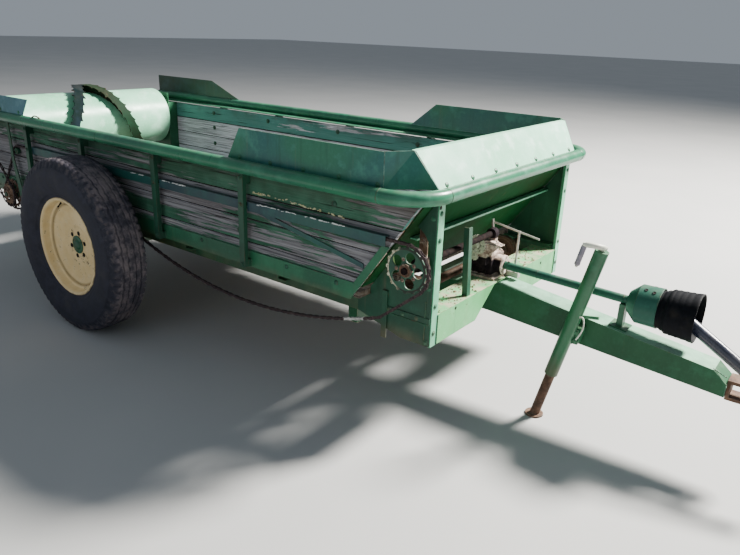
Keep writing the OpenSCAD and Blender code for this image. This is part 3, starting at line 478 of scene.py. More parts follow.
# teeth bare and pale on the rear half as painted sunlight like the lit edge in the opening, dark green on the front
# half
M = Mat("teeth_pale", 0.75, 0.0, 0.3)
a_ = M.noise(110, 5, 0.65)
half = M.step(M.op("ADD", M.op("SUBTRACT", M.xyz()[0], XO), M.op("MULTIPLY", M.noise(30, 3), 0.04)), 2.035, 2.085, 1.0, 0.0)
c_ = M.mix(half, M.mix(M.step(a_, 0.35, 0.7), (0.012, 0.035, 0.022), (0.050, 0.034, 0.030)), M.mix(M.step(a_, 0.35, 0.65), (0.24, 0.20, 0.12), (0.72, 0.74, 0.56)))
teeth_pale = M.done(c_, M.step(a_, 0.3, 0.8, 0.65, 0.9), M.bump(a_, 0.6, 0.001, M.soft(0.0015)))
gap_dark = plain("board_tongue", (0.012, 0.010, 0.009), (0.040, 0.034, 0.030), 0.9, 0.1, 0.4, 60, 0.05)
clip_m = plain("clip_pale", (0.60, 0.62, 0.52), (0.74, 0.74, 0.66), 0.4, 0.5)

LOOK = {
    "floor_boards": floor_m, "apron": rust_dark, "frame_sills": green_low, "cross_bearers": green_low, "axle": green_low,
    "tongue": tongue_paint, "shaft_bearing": bearing_painted_sunlight, "hitch_clevis": rust_dark, "right_side_boards": side_r, "left_side_boards": side_l, "side_sills": green_side,
    "stakes": stakes_painted_shade, "side_rails": rail_paint, "front_rail": rail_paint, "front_slope_panel": slope_green, "front_stiffener": post_green,
    "front_extension": green_painted_sunlight, "right_wing": wing_green, "left_wing": wing_green, "right_front_plate": plate_green,
    "left_front_plate": plate_green, "front_posts": post_green, "front_pan": pan_green, "gearbox": gearcase_painted_shade, "gearbox_post": stakes_painted_shade,
    "control_rods": worn, "cross_shaft": shaft_dark, "drive_sprocket": plate_green, "chain_guard": guard_painted_skylight, "drive_chain": chain_m,
    "beater_chain": chain_m, "chain_tightener": strap_paint, "mid_sprockets": rust, "rear_side_plates": green,
    "rear_upper_plates": rear_plates_painted_skylight, "beater_drum": drum_paint, "beater_flights": flight_paint_painted_shade, "beater_shaft": rust,
    "right_rim": cream_m, "right_tyre": tyre_m, "left_rim": cream_m, "left_tyre": tyre_m, "jack_tube": jack_green, "jack_leg": rust,
    "jack_crank": worn, "driveline_shield": shield_paint, "shield_post": green, "driveline_boot": boot_m, "driveline_yoke": rust_dark,
    "pto_shaft": pto_m}
SLOT = {s["node"]: s["material_slot"] for s in frame["record"]["subparts"]}
for n, o in NODES.items():
    o.data.materials.clear()
    o.data.materials.append(LOOK[n])


# ------------------------------------------------------------------ mesh tools
class Build:
    "collects faces and makes one piece of them"

    def __init__(s):
        s.v, s.f = [], []

    def add(s, v, f):
        k = len(s.v)
        s.v += [tuple(p) for p in v]
        s.f += [tuple(i + k for i in q) for q in f]

    def box(s, c, size, rot=None, taper=1.0):
        c = Vector(c)
        R = rot or Matrix.Identity(3)
        v = []
        for sz in (-1, 1):
            t = 1.0 if sz < 0 else taper
            for sx, sy in ((-1, -1), (1, -1), (1, 1), (-1, 1)):
                v.append(c + R @ Vector((sx * size[0] / 2 * t, sy * size[1] / 2 * t, sz * size[2] / 2)))
        s.add(v, [(3, 2, 1, 0), (4, 5, 6, 7), (0, 1, 5, 4), (1, 2, 6, 5), (2, 3, 7, 6), (3, 0, 4, 7)])

    def rev(s, prof, o, d, n=32, closed=False, a0=0.0):
        "revolve (distance along d, radius) pairs round the line through o"
        o, d = Vector(o), Vector(d).normalized()
        u = d.orthogonal().normalized()
        w = d.cross(u)
        m = len(prof)
        v = []
        for i in range(n):
            a = a0 + 2 * math.pi * i / n
            e = u * math.cos(a) + w * math.sin(a)
            for h, r in prof:
                v.append(o + d * h + e * r)
        f = []
        for i in range(n):
            j = (i + 1) % n
            for k in range(m if closed else m - 1):
                l = (k + 1) % m
                f.append((i * m + k, j * m + k, j * m + l, i * m + l))
        s.add(v, f)

    def cyl(s, a, b, r, n=16, r2=None, ch=0.0):
        a, b = Vector(a), Vector(b)
        L = (b - a).length
        r2 = r if r2 is None else r2
        e = 1e-5
        p = [(0, e), (0, r - ch), (ch, r), (L - ch, r2), (L, r2 - ch), (L, e)] if ch else [(0, e), (0, r), (L, r2), (L, e)]
        s.rev(p, a, b - a, n)

    def tube(s, pts, r, n=10, closed=False):
        pts = [Vector(p) for p in pts]
        m = len(pts)
        T = []
        for i in range(m):
            if closed:
                T.append((pts[(i + 1) % m] - pts[i - 1]).normalized())
            else:
                T.append((pts[min(i + 1, m - 1)] - pts[max(i - 1, 0)]).normalized())
        u = T[0].orthogonal().normalized()
        v = []
        for i in range(m):
            u = (u - T[i] * u.dot(T[i])).normalized()
            w = T[i].cross(u)
            rr = r[i] if isinstance(r, (list, tuple)) else r
            for k in range(n):
                a = 2 * math.pi * k / n
                v.append(pts[i] + (u * math.cos(a) + w * math.sin(a)) * rr)
        f = []
        for i in range(m if closed else m - 1):
            j = (i + 1) % m
            for k in range(n):
                l = (k + 1) % n
                f.append((i * n + k, i * n + l, j * n + l, j * n + k))
        if not closed:
            f.append(tuple(range(n - 1, -1, -1)))
            f.append(tuple((m - 1) * n + k for k in range(n)))
        s.add(v, f)

    def plate(s, pts, o, ex, ey, t):
        "an outline of (x, y) pairs in the plane of ex, ey through o, t thick along ex x ey"
        o, ex, ey = Vector(o), Vector(ex).normalized(), Vector(ey).normalized()
        en = ex.cross(ey)
        m = len(pts)
        v = [o + ex * x + ey * y + en * h for h in (-t / 2, t / 2) for x, y in pts]
        f = [tuple(range(m - 1, -1, -1)), tuple(range(m, 2 * m))]
        f += [(k, (k + 1) % m, m + (k + 1) % m, m + k) for k in range(m)]
        s.add(v, f)

    def bolt(s, p, d, r=0.009, h=0.006, washer=True, hexa=True, turn=0.0):
        "a bolt head that stands on p along d"
        p, d = Vector(p), Vector(d).normalized()
        if washer:
            s.rev([(-0.002, r * 1.55), (0.0015, r * 1.6), (0.0018, r * 1.45), (0.0018, 1e-5)], p, d, 14)
        if hexa:
            s.rev([(-0.001, r), (h * 0.8, r), (h, r * 0.82), (h, 1e-5)], p, d, 6, False, turn)
        else:
            s.rev([(-0.001, r * 1.25), (h * 0.25, r * 1.2), (h * 0.7, r * 0.8), (h * 0.9, r * 0.4), (h * 0.95, 1e-5)], p, d, 12)

    def obj(s, name, mat, body, slot=None, smooth=35, bevel=0.0, replaces=(), seg=2):
        me = bpy.data.meshes.new(name)
        me.from_pydata(s.v, [], s.f)
        bm = bmesh.new()
        bm.from_mesh(me)
        bmesh.ops.remove_doubles(bm, verts=bm.verts, dist=1e-6)
        bmesh.ops.dissolve_degenerate(bm, edges=bm.edges, dist=1e-6)
        bmesh.ops.recalc_face_normals(bm, faces=bm.faces)
        bm.to_mesh(me)
        bm.free()
        me.polygons.foreach_set("use_smooth", [True] * len(me.polygons))
        me.set_sharp_from_angle(angle=math.radians(smooth))
        o = bpy.data.objects.new(name, me)
        bpy.context.scene.collection.objects.link(o)
        me.materials.append(mat)
        if bevel:
            b = o.modifiers.new("bevel", "BEVEL")
            b.width = bevel
            b.segments = seg
            b.limit_method = "ANGLE"
            b.angle_limit = math.radians(40)
            b.harden_normals = False
        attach(o, body)
        if replaces:
            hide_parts(*replaces)
        return o


def rotz(a):
    return Matrix.Rotation(a, 3, "Z")


# ------------------------------------------------------------------ tyres and rims
AZ = 0.488
WY = 0.925


def catmull(P, k):
    P = [np.array(p, float) for p in P]
    out = []
    for i in range(len(P) - 1):
        p0, p1, p2, p3 = P[max(i - 1, 0)], P[i], P[i + 1], P[min(i + 2, len(P) - 1)]
        for j in range(k):
            t = j / k
            out.append(0.5 * ((2 * p1) + (-p0 + p2) * t + (2 * p0 - 5 * p1 + 4 * p2 - p3) * t * t + (-p0 + 3 * p1 - 3 * p2 + p3) * t ** 3))
    out.append(P[-1])
    return np.array(out)


def sstep(x, a, b):
    t = np.clip((x - a) / (b - a), 0, 1)
    return t * t * (3 - 2 * t)


def make_tyre(side, name, body, node):
    # outer surface from the inner bead to the outer one: distance from the middle plane, radius
    wall = [(0.0725, 0.2625), (0.078, 0.270), (0.0845, 0.2785), (0.088, 0.288), (0.097, 0.303), (0.108, 0.335), (0.1145, 0.375),
            (0.1120, 0.415), (0.1045, 0.446), (0.0985, 0.462), (0.0935, 0.4745)]
    w = catmull(wall, 4)
    tu = np.concatenate([np.linspace(0.0925, 0.060, 16), np.array([0.058, 0.0565, 0.0555, 0.054, 0.046, 0.0445, 0.0435, 0.042, 0.034, 0.027,
         0.0255, 0.0245, 0.023, 0.015, 0.0135, 0.0125, 0.011, 0.0])])
    tr = 0.488 - 0.0012 * (tu / 0.05) ** 2 - np.clip(tu - 0.074, 0, 1) ** 2 * 22
    half = np.concatenate([w, np.stack([tu, tr], 1)])
    prof = np.concatenate([half, (half[::-1] * np.array([-1, 1]))[1:]])
    n = 432
    th = np.arange(n) * 2 * np.pi / n
    U, T = np.meshgrid(prof[:, 0], th)
    Rr = np.tile(prof[:, 1], (n, 1))
    au = np.abs(U)
    # ribs: two zigzag grooves on each side and one down the middle
    zig = 0.0030 * (2 * np.abs(((T * 54 / (2 * np.pi)) % 1.0) - 0.5) - 0.5)
    tread = (Rr > 0.4745)
    g = np.zeros_like(U)
    for c, wd in ((0.0195, 0.0042), (0.0505, 0.0045), (-0.0195, 0.0042), (-0.0505, 0.0045)):
        g = np.maximum(g, 1 - sstep(np.abs(U + zig - c), wd * 0.7, wd * 1.25))
    dep = 0.0075 * g * tread
    # shoulder notches
    ph = ((T * 72 / (2 * np.pi)) + np.where(U > 0, 0.5, 0.0) + au * 3.0) % 1.0
    notch = (1 - sstep(np.abs(ph - 0.5), 0.15, 0.24)) * sstep(au, 0.066, 0.073) * (1 - sstep(au, 0.104, 0.109)) * (Rr > 0.445)
    dep = np.maximum(dep, 0.0085 * notch)
    # small cuts in the ribs, and uneven wear
    ph2 = ((T * 108 / (2 * np.pi)) + U * 6.0) % 1.0
    sipe = (1 - sstep(np.abs(ph2 - 0.5), 0.10, 0.2)) * (sstep(np.abs(((au - 0.0195) % 0.031) - 0.0155), 0.0105, 0.0125)) * tread
    dep = np.maximum(dep, 0.0030 * sipe * (au < 0.06))
    wear = 0.0009 * (np.sin(T * 3 + 1.0) * np.cos(U * 60) + np.sin(T * 11 + U * 40) * 0.5 + 0.8)
    Rr = Rr - dep - wear * tread
    # rings on the sidewall
    for rc, hh in ((0.300, 0.0018), (0.352, 0.0012), (0.430, 0.0014), (0.440, 0.0010)):
        U = U + np.sign(U) * hh * (1 - sstep(np.abs(Rr - rc), 0.002, 0.005)) * (au > 0.07)
    U = np.clip(U, -0.115, 0.115)
    m = prof.shape[0]
    X = XO + Rr * np.cos(T)
    Z = AZ + Rr * np.sin(T)
    Y = side * WY + U
    P = np.stack([X, Y, Z], 2).reshape(-1, 3)
    b = Build()
    f = []
    for i in range(n):
        j = (i + 1) % n
        for k in range(m - 1):
            f.append((i * m + k, j * m + k, j * m + k + 1, i * m + k + 1))
        f.append((i * m + m - 1, j * m + m - 1, j * m, i * m))
    b.v = [tuple(p) for p in P]
    b.f = f
    return b.obj(name, tyre_m, body, "tyre_rubber", 50, 0, (node,))


def make_rim(side, name, body, node):
    s = side
    b = Build()
    o = (XO, s * WY, AZ)
    d = (0, s, 0)
    mm = 0.001
    # barrel: rolled flange, bead seat, step, drop centre, and the plain inner side
    out = [(85, 262), (86.5, 266), (86.5, 271), (84.5, 275), (80, 276.5), (76, 275), (75, 270), (73, 264), (70, 261.8), (46, 259.5), (41, 257), (34, 240), (28, 236),
           (-28, 236), (-36, 242), (-44, 257), (-70, 261.8), (-75, 268), (-77, 274.5), (-84, 275), (-86.5, 270), (-85, 262), (-81, 257), (-75, 254.5), (-50, 251.5),
           (-38, 234), (-30, 229), (30, 229), (37, 232.5), (43, 248.5), (49, 252), (68, 254.5), (77, 256), (82, 258.5)]
    b.rev([(u * mm, r * mm) for u, r in out], o, d, 144, True)
    # dished disc, with a rounded shoulder and a raised ring round the bolts
    disc = [(31, 229.2), (33, 228), (31, 221), (26, 211), (19, 199), (14.5, 190), (12.5, 182), (12.2, 160), (12.2, 112), (13.5, 106), (16.5, 101), (17, 96), (17, 30), (9, 30), (9, 96),
            (5, 110), (5, 180), (7, 190), (17, 210), (24, 224), (26, 229.2)]
    b.rev([(u * mm, r * mm) for u, r in disc], o, d, 144, True)
    # beads of weld between disc and barrel
    for k in range(12):
        a0 = k * math.pi / 6 + 0.1
        pts = [Vector(o) + Vector((0, s * 0.0335, 0)) + Vector((math.cos(a), 0, math.sin(a))) * 0.2283 for a in np.linspace(a0, a0 + 0.33, 7)]
        b.tube(pts, 0.0035, 6)
    rim = b.obj(name, cream_m, body, "cream_paint", 32, 0, (node,))
    # hub: flat green disc with a low cap, flange and drum on the inner side
    h = Build()
    h.rev([(17 * mm, 1e-5), (17.5 * mm, 0.051), (21 * mm, 0.0505), (22.5 * mm, 0.047), (22.5 * mm, 0.031), (26 * mm, 0.029), (30 * mm, 0.024), (31.5 * mm, 0.014), (31.5 * mm, 1e-5)], o, d, 40)
    h.rev([(9 * mm, 0.10), (2 * mm, 0.104), (-4 * mm, 0.100), (-12 * mm, 0.070), (-60 * mm, 0.060), (-86 * mm, 0.058), (-94 * mm, 0.052), (-94 * mm, 0.026), (9 * mm, 0.026)], o, d, 40, True)
    for i in range(3):
        a = i * math.pi * 2 / 3 + 0.5
        h.bolt(Vector(o) + Vector((math.cos(a), 0, math.sin(a))) * 0.0385 + Vector((0, s * 0.0225, 0)), d, 0.0045, 0.004, False)
    h.obj(name + "_hub", green, body, "green_paint", 35)
    # bolt holes: shallow cups painted near-black as the shade inside, with a worn rim
    k = Build()
    for i in range(6):
        a = i * math.pi / 3 + 0.26
        p = Vector(o) + Vector((math.cos(a), 0, math.sin(a))) * 0.070 + Vector((0, s * 0.0172, 0))
        k.rev([(-0.001, 0.0128), (0.0008, 0.0128), (0.0012, 0.0112), (0.0004, 0.0096), (0.0004, 0.0060), (0.0016, 0.0052), (0.0020, 1e-5)], p, d, 20)
    k.obj(name + "_bolt_holes", holes_painted_shade, body, "rusty_steel", 35)
    # valve
    v = Build()
    a = 1.92
    p = Vector(o) + Vector((math.cos(a) * 0.243, s * 0.040, math.sin(a) * 0.243))
    q = p + Vector((-math.cos(a) * 0.022, s * 0.028, -math.sin(a) * 0.022))
    v.rev([(0, 0.0052), (0.010, 0.0048), (0.012, 0.0034), (0.024, 0.0032), (0.0245, 0.0042), (0.034, 0.0040), (0.035, 1e-5)], p, q - p, 12)
    v.obj(name + "_valve", boot_m, body, "black_rubber", 35)
    return rim


make_tyre(-1, "right_tyre_tread", "right_wheel", "right_tyre")
make_tyre(1, "left_tyre_tread", "left_wheel", "left_tyre")
make_rim(-1, "right_wheel_rim", "right_wheel", "right_rim")
make_rim(1, "left_wheel_rim", "left_wheel", "left_rim")

# ------------------------------------------------------------------ chains and sprockets
CY = -0.763
MID = (-1.060, 0.572)
DRV = (2.082, 0.800)
BTR = (-1.430, 0.940)


def arc(c, r, a0, a1, n):
    return [(c[0] + r * math.cos(math.radians(a0 + (a1 - a0) * i / n)), c[1] + r * math.sin(math.radians(a0 + (a1 - a0) * i / n))) for i in range(n + 1)]


def run_points(path, count):
    "evenly spaced points along a closed outline"
    P = np.array(path + [path[0]])
    L = np.concatenate([[0], np.cumsum(np.linalg.norm(np.diff(P, axis=0), axis=1))])
    s = np.arange(count) * L[-1] / count
    return [(float(np.interp(q, L, P[:, 0])), float(np.interp(q, L, P[:, 1]))) for q in s], L[-1] / count


def chain_links(name, path, count, y, wide, body, node, bright_at=None):
    pts, pitch = run_points(path, count)
    b, bb = Build(), Build()
    m = len(pts)
    for i in range(m):
        p, q = pts[i], pts[(i + 1) % m]
        t = Vector((q[0] - p[0], 0, q[1] - p[1])).normalized()
        nrm = Vector((-t.z, 0, t.x))
        c = A((p[0] + q[0]) / 2, y, (p[1] + q[1]) / 2)
        tgt = bb if bright_at and bright_at[0] < (p[0] + q[0]) / 2 < bright_at[1] and (p[1] + q[1]) / 2 < 0.6 else b
        inner = i % 2 == 0
        off = wide * (0.27 if inner else 0.43)
        hl = (pitch + 0.010) / 2
        w = 0.0062
        out = [(-hl, -w * 0.55), (-hl + 0.004, -w), (-pitch * 0.22, -w), (-pitch * 0.10, -w * 0.72), (pitch * 0.10, -w * 0.72), (pitch * 0.22, -w), (hl - 0.004, -w), (hl, -w * 0.55),
               (hl, w * 0.55), (hl - 0.004, w), (pitch * 0.22, w), (pitch * 0.10, w * 0.72), (-pitch * 0.10, w * 0.72), (-pitch * 0.22, w), (-hl + 0.004, w), (-hl, w * 0.55)]
        for sg in (-1, 1):
            tgt.plate(out, c + Vector((0, sg * off, 0)), t, nrm, 0.0021)
        # pin and roller at the joint
        j = A(p[0], y, p[1])
        b.cyl(j - Vector((0, wide * 0.5, 0)), j + Vector((0, wide * 0.5, 0)), 0.0030, 8)
        b.cyl(j - Vector((0, wide * 0.23, 0)), j + Vector((0, wide * 0.23, 0)), 0.0068, 10)
    o = b.obj(name, chain_m, body, "chain_steel", 40, 0, (node,))
    if bb.v:
        bb.obj(name + "_clean_link", bright, body, "worn_steel", 40)
    return o


slack = [(x, 0.420 + 0.22 * (x - 1.15) ** 2) for x in np.linspace(1.960, 0.270, 40)]
main_path = (arc(MID, 0.105, 282.6, 143.4, 20) + arc((-0.930, 0.866), 0.034, 143.4, 90.1, 6) + arc(DRV, 0.105, 90.1, -52, 20) + slack
             + arc((0.150, 0.700), 0.034, 55, 102.6, 6))
chain_links("roller_chain_main", main_path, 180, CY, 0.0130, "chassis", "drive_chain", (1.79, 1.88))

dv = (BTR[0] - MID[0], BTR[1] - MID[1])
ba = math.degrees(math.atan2(dv[1], dv[0]))
tl = math.degrees(math.asin(0.020 / math.hypot(*dv)))
belt = arc(MID, 0.080, ba + 90 + tl, ba + 270 - tl, 16) + arc(BTR, 0.100, ba - 90 - tl, ba + 90 + tl, 18)
chain_links("roller_chain_beater", belt, 46, -0.797, 0.0130, "chassis", "beater_chain")


def sprocket(b, c, y, r_root, r_tip, teeth, t, hub_r, spokes=5, ring=0.018):
    """toothed ring and its spokes, which reach in to hub_r"""
    n = teeth * 8
    pts_o = []
    for i in range(n):
        k = (i % 8) / 8.0
        if k < 0.13 or k > 0.87:
            r = r_tip
        elif k < 0.25 or k > 0.75:
            r = r_root + (r_tip - r_root) * 0.62
        else:
            r = r_root
        pts_o.append((r, 2 * math.pi * i / n))
    ri = r_root - ring
    X, Z = c
    for sg in (-1, 1):
        base = len(b.v)
        v = [A(X + r * math.cos(a), y + sg * t / 2, Z + r * math.sin(a)) for r, a in pts_o] + [A(X + ri * math.cos(a), y + sg * t / 2, Z + ri * math.sin(a)) for r, a in pts_o]
        f = [(i, (i + 1) % n, n + (i + 1) % n, n + i) if sg > 0 else (n + i, n + (i + 1) % n, (i + 1) % n, i) for i in range(n)]
        b.add(v, f)
    v = [A(X + r * math.cos(a), y + sg * t / 2, Z + r * math.sin(a)) for sg in (-1, 1) for r, a in pts_o]
    b.add(v, [(i, (i + 1) % n, n + (i + 1) % n, n + i) for i in range(n)])
    v = [A(X + ri * math.cos(a), y + sg * t / 2, Z + ri * math.sin(a)) for sg in (-1, 1) for r, a in pts_o]
    b.add(v, [(n + i, n + (i + 1) % n, (i + 1) % n, i) for i in range(n)])
    # spokes
    for k in range(spokes):
        a = 2 * math.pi * k / spokes + 0.5
        R = Matrix.Rotation(-a, 3, "Y")
        mid = (hub_r + ri) / 2
        b.box(A(X + mid * math.cos(a), y, Z + mid * math.sin(a)), (ri - hub_r + 0.012, t * 0.7, 0.026), R)


b = Build()
sprocket(b, DRV, CY, 0.0885, 0.0955, 16, 0.0066, 0.0, 0, 0.0060)
# the pale rear half of the teeth is painted sunlight
b.obj("front_sprocket_teeth", teeth_pale, "drive_shaft", "rusty_steel", 35)
b = Build()
b.rev([(-0.0125, 0.0145), (-0.0125, 0.025), (-0.0110, 0.0278), (-0.0032, 0.0278), (-0.0032, 0.0145)], A(DRV[0], CY, DRV[1]), (0, 1, 0), 32, True)
b.bolt(A(DRV[0] + 0.027, CY - 0.007, DRV[1] + 0.004), (1, 0, 0.1), 0.004, 0.006, False)
for i in range(5):
    a = math.radians(36 + 72 * i)
    b.bolt(A(DRV[0] + 0.045 * math.cos(a), CY - 0.003, DRV[1] + 0.045 * math.sin(a)), (0, -1, 0), 0.0050, 0.004, True, True, a)
# the collar's pale colour is painted sunlight
b.obj("front_sprocket_collar", bearing_painted_sunlight, "drive_shaft", "rusty_steel", 35)

b = Build()
sprocket(b, MID, CY, 0.086, 0.0955, 16, 0.0055, 0.024, 5, 0.016)
sprocket(b, MID, -0.797, 0.062, 0.0705, 12, 0.009, 0.020, 4, 0.016)
b.rev([(-0.050, 0.0146), (-0.050, 0.024), (-0.047, 0.026), (0.0035, 0.026), (0.0062, 0.0235), (0.0062, 0.0146)], A(MID[0], CY, MID[1]), (0, 1, 0), 28, True)
b.obj("middle_sprockets_toothed", rust, "intermediate_sprocket", "rusty_steel", 35, 0, ("mid_sprockets",))

b = Build()
sprocket(b, BTR, -0.797, 0.082, 0.0905, 15, 0.009, 0.036, 4, 0.018)
b.rev([(-0.811, 1e-5), (-0.811, 0.0235), (-0.8095, 0.025), (0.6885, 0.025), (0.690, 0.0235), (0.690, 1e-5)], A(BTR[0], 0, BTR[1]), (0, 1, 0), 32)
b.rev([(-0.812, 0.026), (-0.812, 0.037), (-0.809, 0.040), (-0.776, 0.040), (-0.773, 0.037), (-0.773, 0.026)], A(BTR[0], 0, BTR[1]), (0, 1, 0), 32, True)
b.bolt(A(BTR[0] + 0.039, -0.783, BTR[1] + 0.01), (1, 0, 0.25), 0.007, 0.010, False)
b.obj("beater_shaft_and_sprocket", rust, "beater", "rusty_steel", 35, 0, ("beater_shaft",))

# ------------------------------------------------------------------ bolts on the box
b = Build()
stakes = [-1.588, -0.735, -0.133, 0.535, 1.185]
for s in (-1, 1):
    for x in stakes:
        for z, yy in ((0.622, 0.797), (1.030, 0.797)):
            b.bolt(A(x, s * yy, z), (0, s, 0), 0.0085, 0.007, True, True, x)
        if s < 0:
            b.bolt(A(x, s * 0.797, 0.905), (0, s, 0), 0.0075, 0.006, True, True, x)
    # carriage bolts through the sill and the boards
    x = -1.50
    while x < 1.75:
        if min(abs(x - q) for q in stakes) > 0.05:
            b.bolt(A(x, s * 0.755, 0.655), (0, s, 0), 0.009, 0.006, False, False)
        x += 0.293
    for x in (-1.54, -0.80, -0.20, 0.47, 1.12, 1.70):
        for r_ in range(4):
            z = 0.606 + 0.1125 * r_ + 0.055 + 0.012 * math.sin(x * 9 + r_)
            if r_ == 0 or x > 1.795 - (3 - r_) * 0.05:
                continue
            if s < 0 and x < -1.3 and 0.86 < z < 1.0:
                continue
            b.bolt(A(x, s * 0.750, z), (0, s, 0), 0.0085, 0.005, True, False)
            b.bolt(A(x, s * 0.725, z), (0, -s, 0), 0.010, 0.006, True, True, z)
        b.bolt(A(x, s * 0.725, 0.655), (0, -s, 0), 0.010, 0.006, True, True, x)
b.obj("box_bolts", stakes_painted_shade, "chassis", "green_paint", 40)

# ------------------------------------------------------------------ beater bands
def beater_band(side, name, mat, node=()):
    "a web on edge that carries a flat cap with saw-toothed edges, wound outwards from the middle of the drum"
    b = Build()
    turn, length, a0, y0 = math.radians(266.0), 0.586, math.radians(95.0), 0.020
    rm = 0.265
    total = math.hypot(rm * turn, length)
    ca, sa = rm * turn / total, length / total
    pitch = 0.062

    def at(sl, w, r):
        "sl along the band, w across it on the surface, r from the drum's axis"
        th = a0 - (sl * ca) / rm - (w * sa) / rm
        y = y0 + sl * sa - w * ca
        return A(BTR[0] + r * math.cos(th), side * y, BTR[1] + r * math.sin(th))

    st = []
    k = 0
    while k * pitch < total:
        for f, tt in ((0.0, 0.0), (0.22, 0.0), (0.42, 0.12), (0.62, 0.45), (0.80, 1.0), (0.86, 0.75), (0.90, 0.0)):
            sl = (k + f) * pitch
            if sl < total:
                st.append((sl, tt, k))
        k += 1
    st.append((total, 0.0, k))
    rr = random.Random(31 + side)
    wob = [(rr.uniform(-0.003, 0.003), rr.uniform(0.6, 1.15), rr.uniform(0.6, 1.15)) for _ in range(k + 2)]
    ring = []
    for sl, tt, kk in st:
        jy, j1, j2 = wob[kk]
        hw = 0.0305
        # keep the start square to the drum's middle
        lim = (y0 + sl * sa - 0.004) / ca
        wl = min(hw + 0.016 * tt * j1, lim)
        wr = hw + 0.016 * tt * j2
        lift = 0.0025 * tt
        ring.append([at(sl, wl, 0.2680 - 0.0005), at(sl, 0.012, 0.2668), at(sl, -0.012, 0.2668), at(sl, -wr, 0.2680 - 0.0005),
                     at(sl, -wr, 0.2625), at(sl, -0.012, 0.2615), at(sl, 0.012, 0.2615), at(sl, wl, 0.2625)])
    m = len(ring)
    v = [q for r in ring for q in r]
    f = [(i * 8 + j, i * 8 + (j + 1) % 8, (i + 1) * 8 + (j + 1) % 8, (i + 1) * 8 + j) for i in range(m - 1) for j in range(8)]
    f += [tuple(range(7, -1, -1)), tuple((m - 1) * 8 + j for j in range(8))]
    b.add(v, f)
    n = 120
    w_ = []
    for i in range(n + 1):
        sl = total * i / n
        w_ += [at(sl, 0.003, 0.2136), at(sl, 0.003, 0.2620), at(sl, -0.003, 0.2620), at(sl, -0.003, 0.2136)]
    f = [(i * 4 + j, i * 4 + (j + 1) % 4, (i + 1) * 4 + (j + 1) % 4, (i + 1) * 4 + j) for i in range(n) for j in range(4)]
    f += [(3, 2, 1, 0), (n * 4, n * 4 + 1, n * 4 + 2, n * 4 + 3)]
    b.add(w_, f)
    # weld runs where the web meets the drum
    for sg in (-1, 1):
        k = 0
        while (k + 0.6) * 0.16 < total:
            pts = [at((k + 0.1 + 0.5 * q / 8) * 0.16, sg * 0.0045, 0.2152) for q in range(9)]
            b.tube(pts, [0.0028 + 0.0008 * math.sin(q * 2.1 + k) for q in range(9)], 6)
            k += 1
    return b.obj(name, mat, "beater", "green_paint", 30, 0, node)


# both bands are coloured near-black as painted shade
beater_band(-1, "beater_band_right", flight_blue_painted_shade, ("beater_flights",))
beater_band(1, "beater_band_left", flight_paint_painted_shade)

# drum ends: rims and a rolled seam
b = Build()
for s in (-1, 1):
    b.rev([(0.6165, 0.2128), (0.6200, 0.2128), (0.6200, 0.2040), (0.6190, 0.2030), (0.6165, 0.2030)], A(BTR[0], 0, BTR[1]), (0, s, 0), 96, True)
    b.rev([(0.6185, 0.062), (0.6200, 0.060), (0.6200, 0.030), (0.6185, 0.027)], A(BTR[0], 0, BTR[1]), (0, s, 0), 40, True)
    for i in range(6):
        a = i * math.pi / 3
        b.bolt(A(BTR[0] + 0.045 * math.cos(a), s * 0.6195, BTR[1] + 0.045 * math.sin(a)), (0, s, 0), 0.006, 0.0004, False)
b.obj("drum_end_rims", drum_paint, "beater", "sunlit_green_paint", 35)

# ------------------------------------------------------------------ side boards with real ridges
def slope_x(z):
    return 1.800 + (z - 0.600) * 0.328 / 0.458


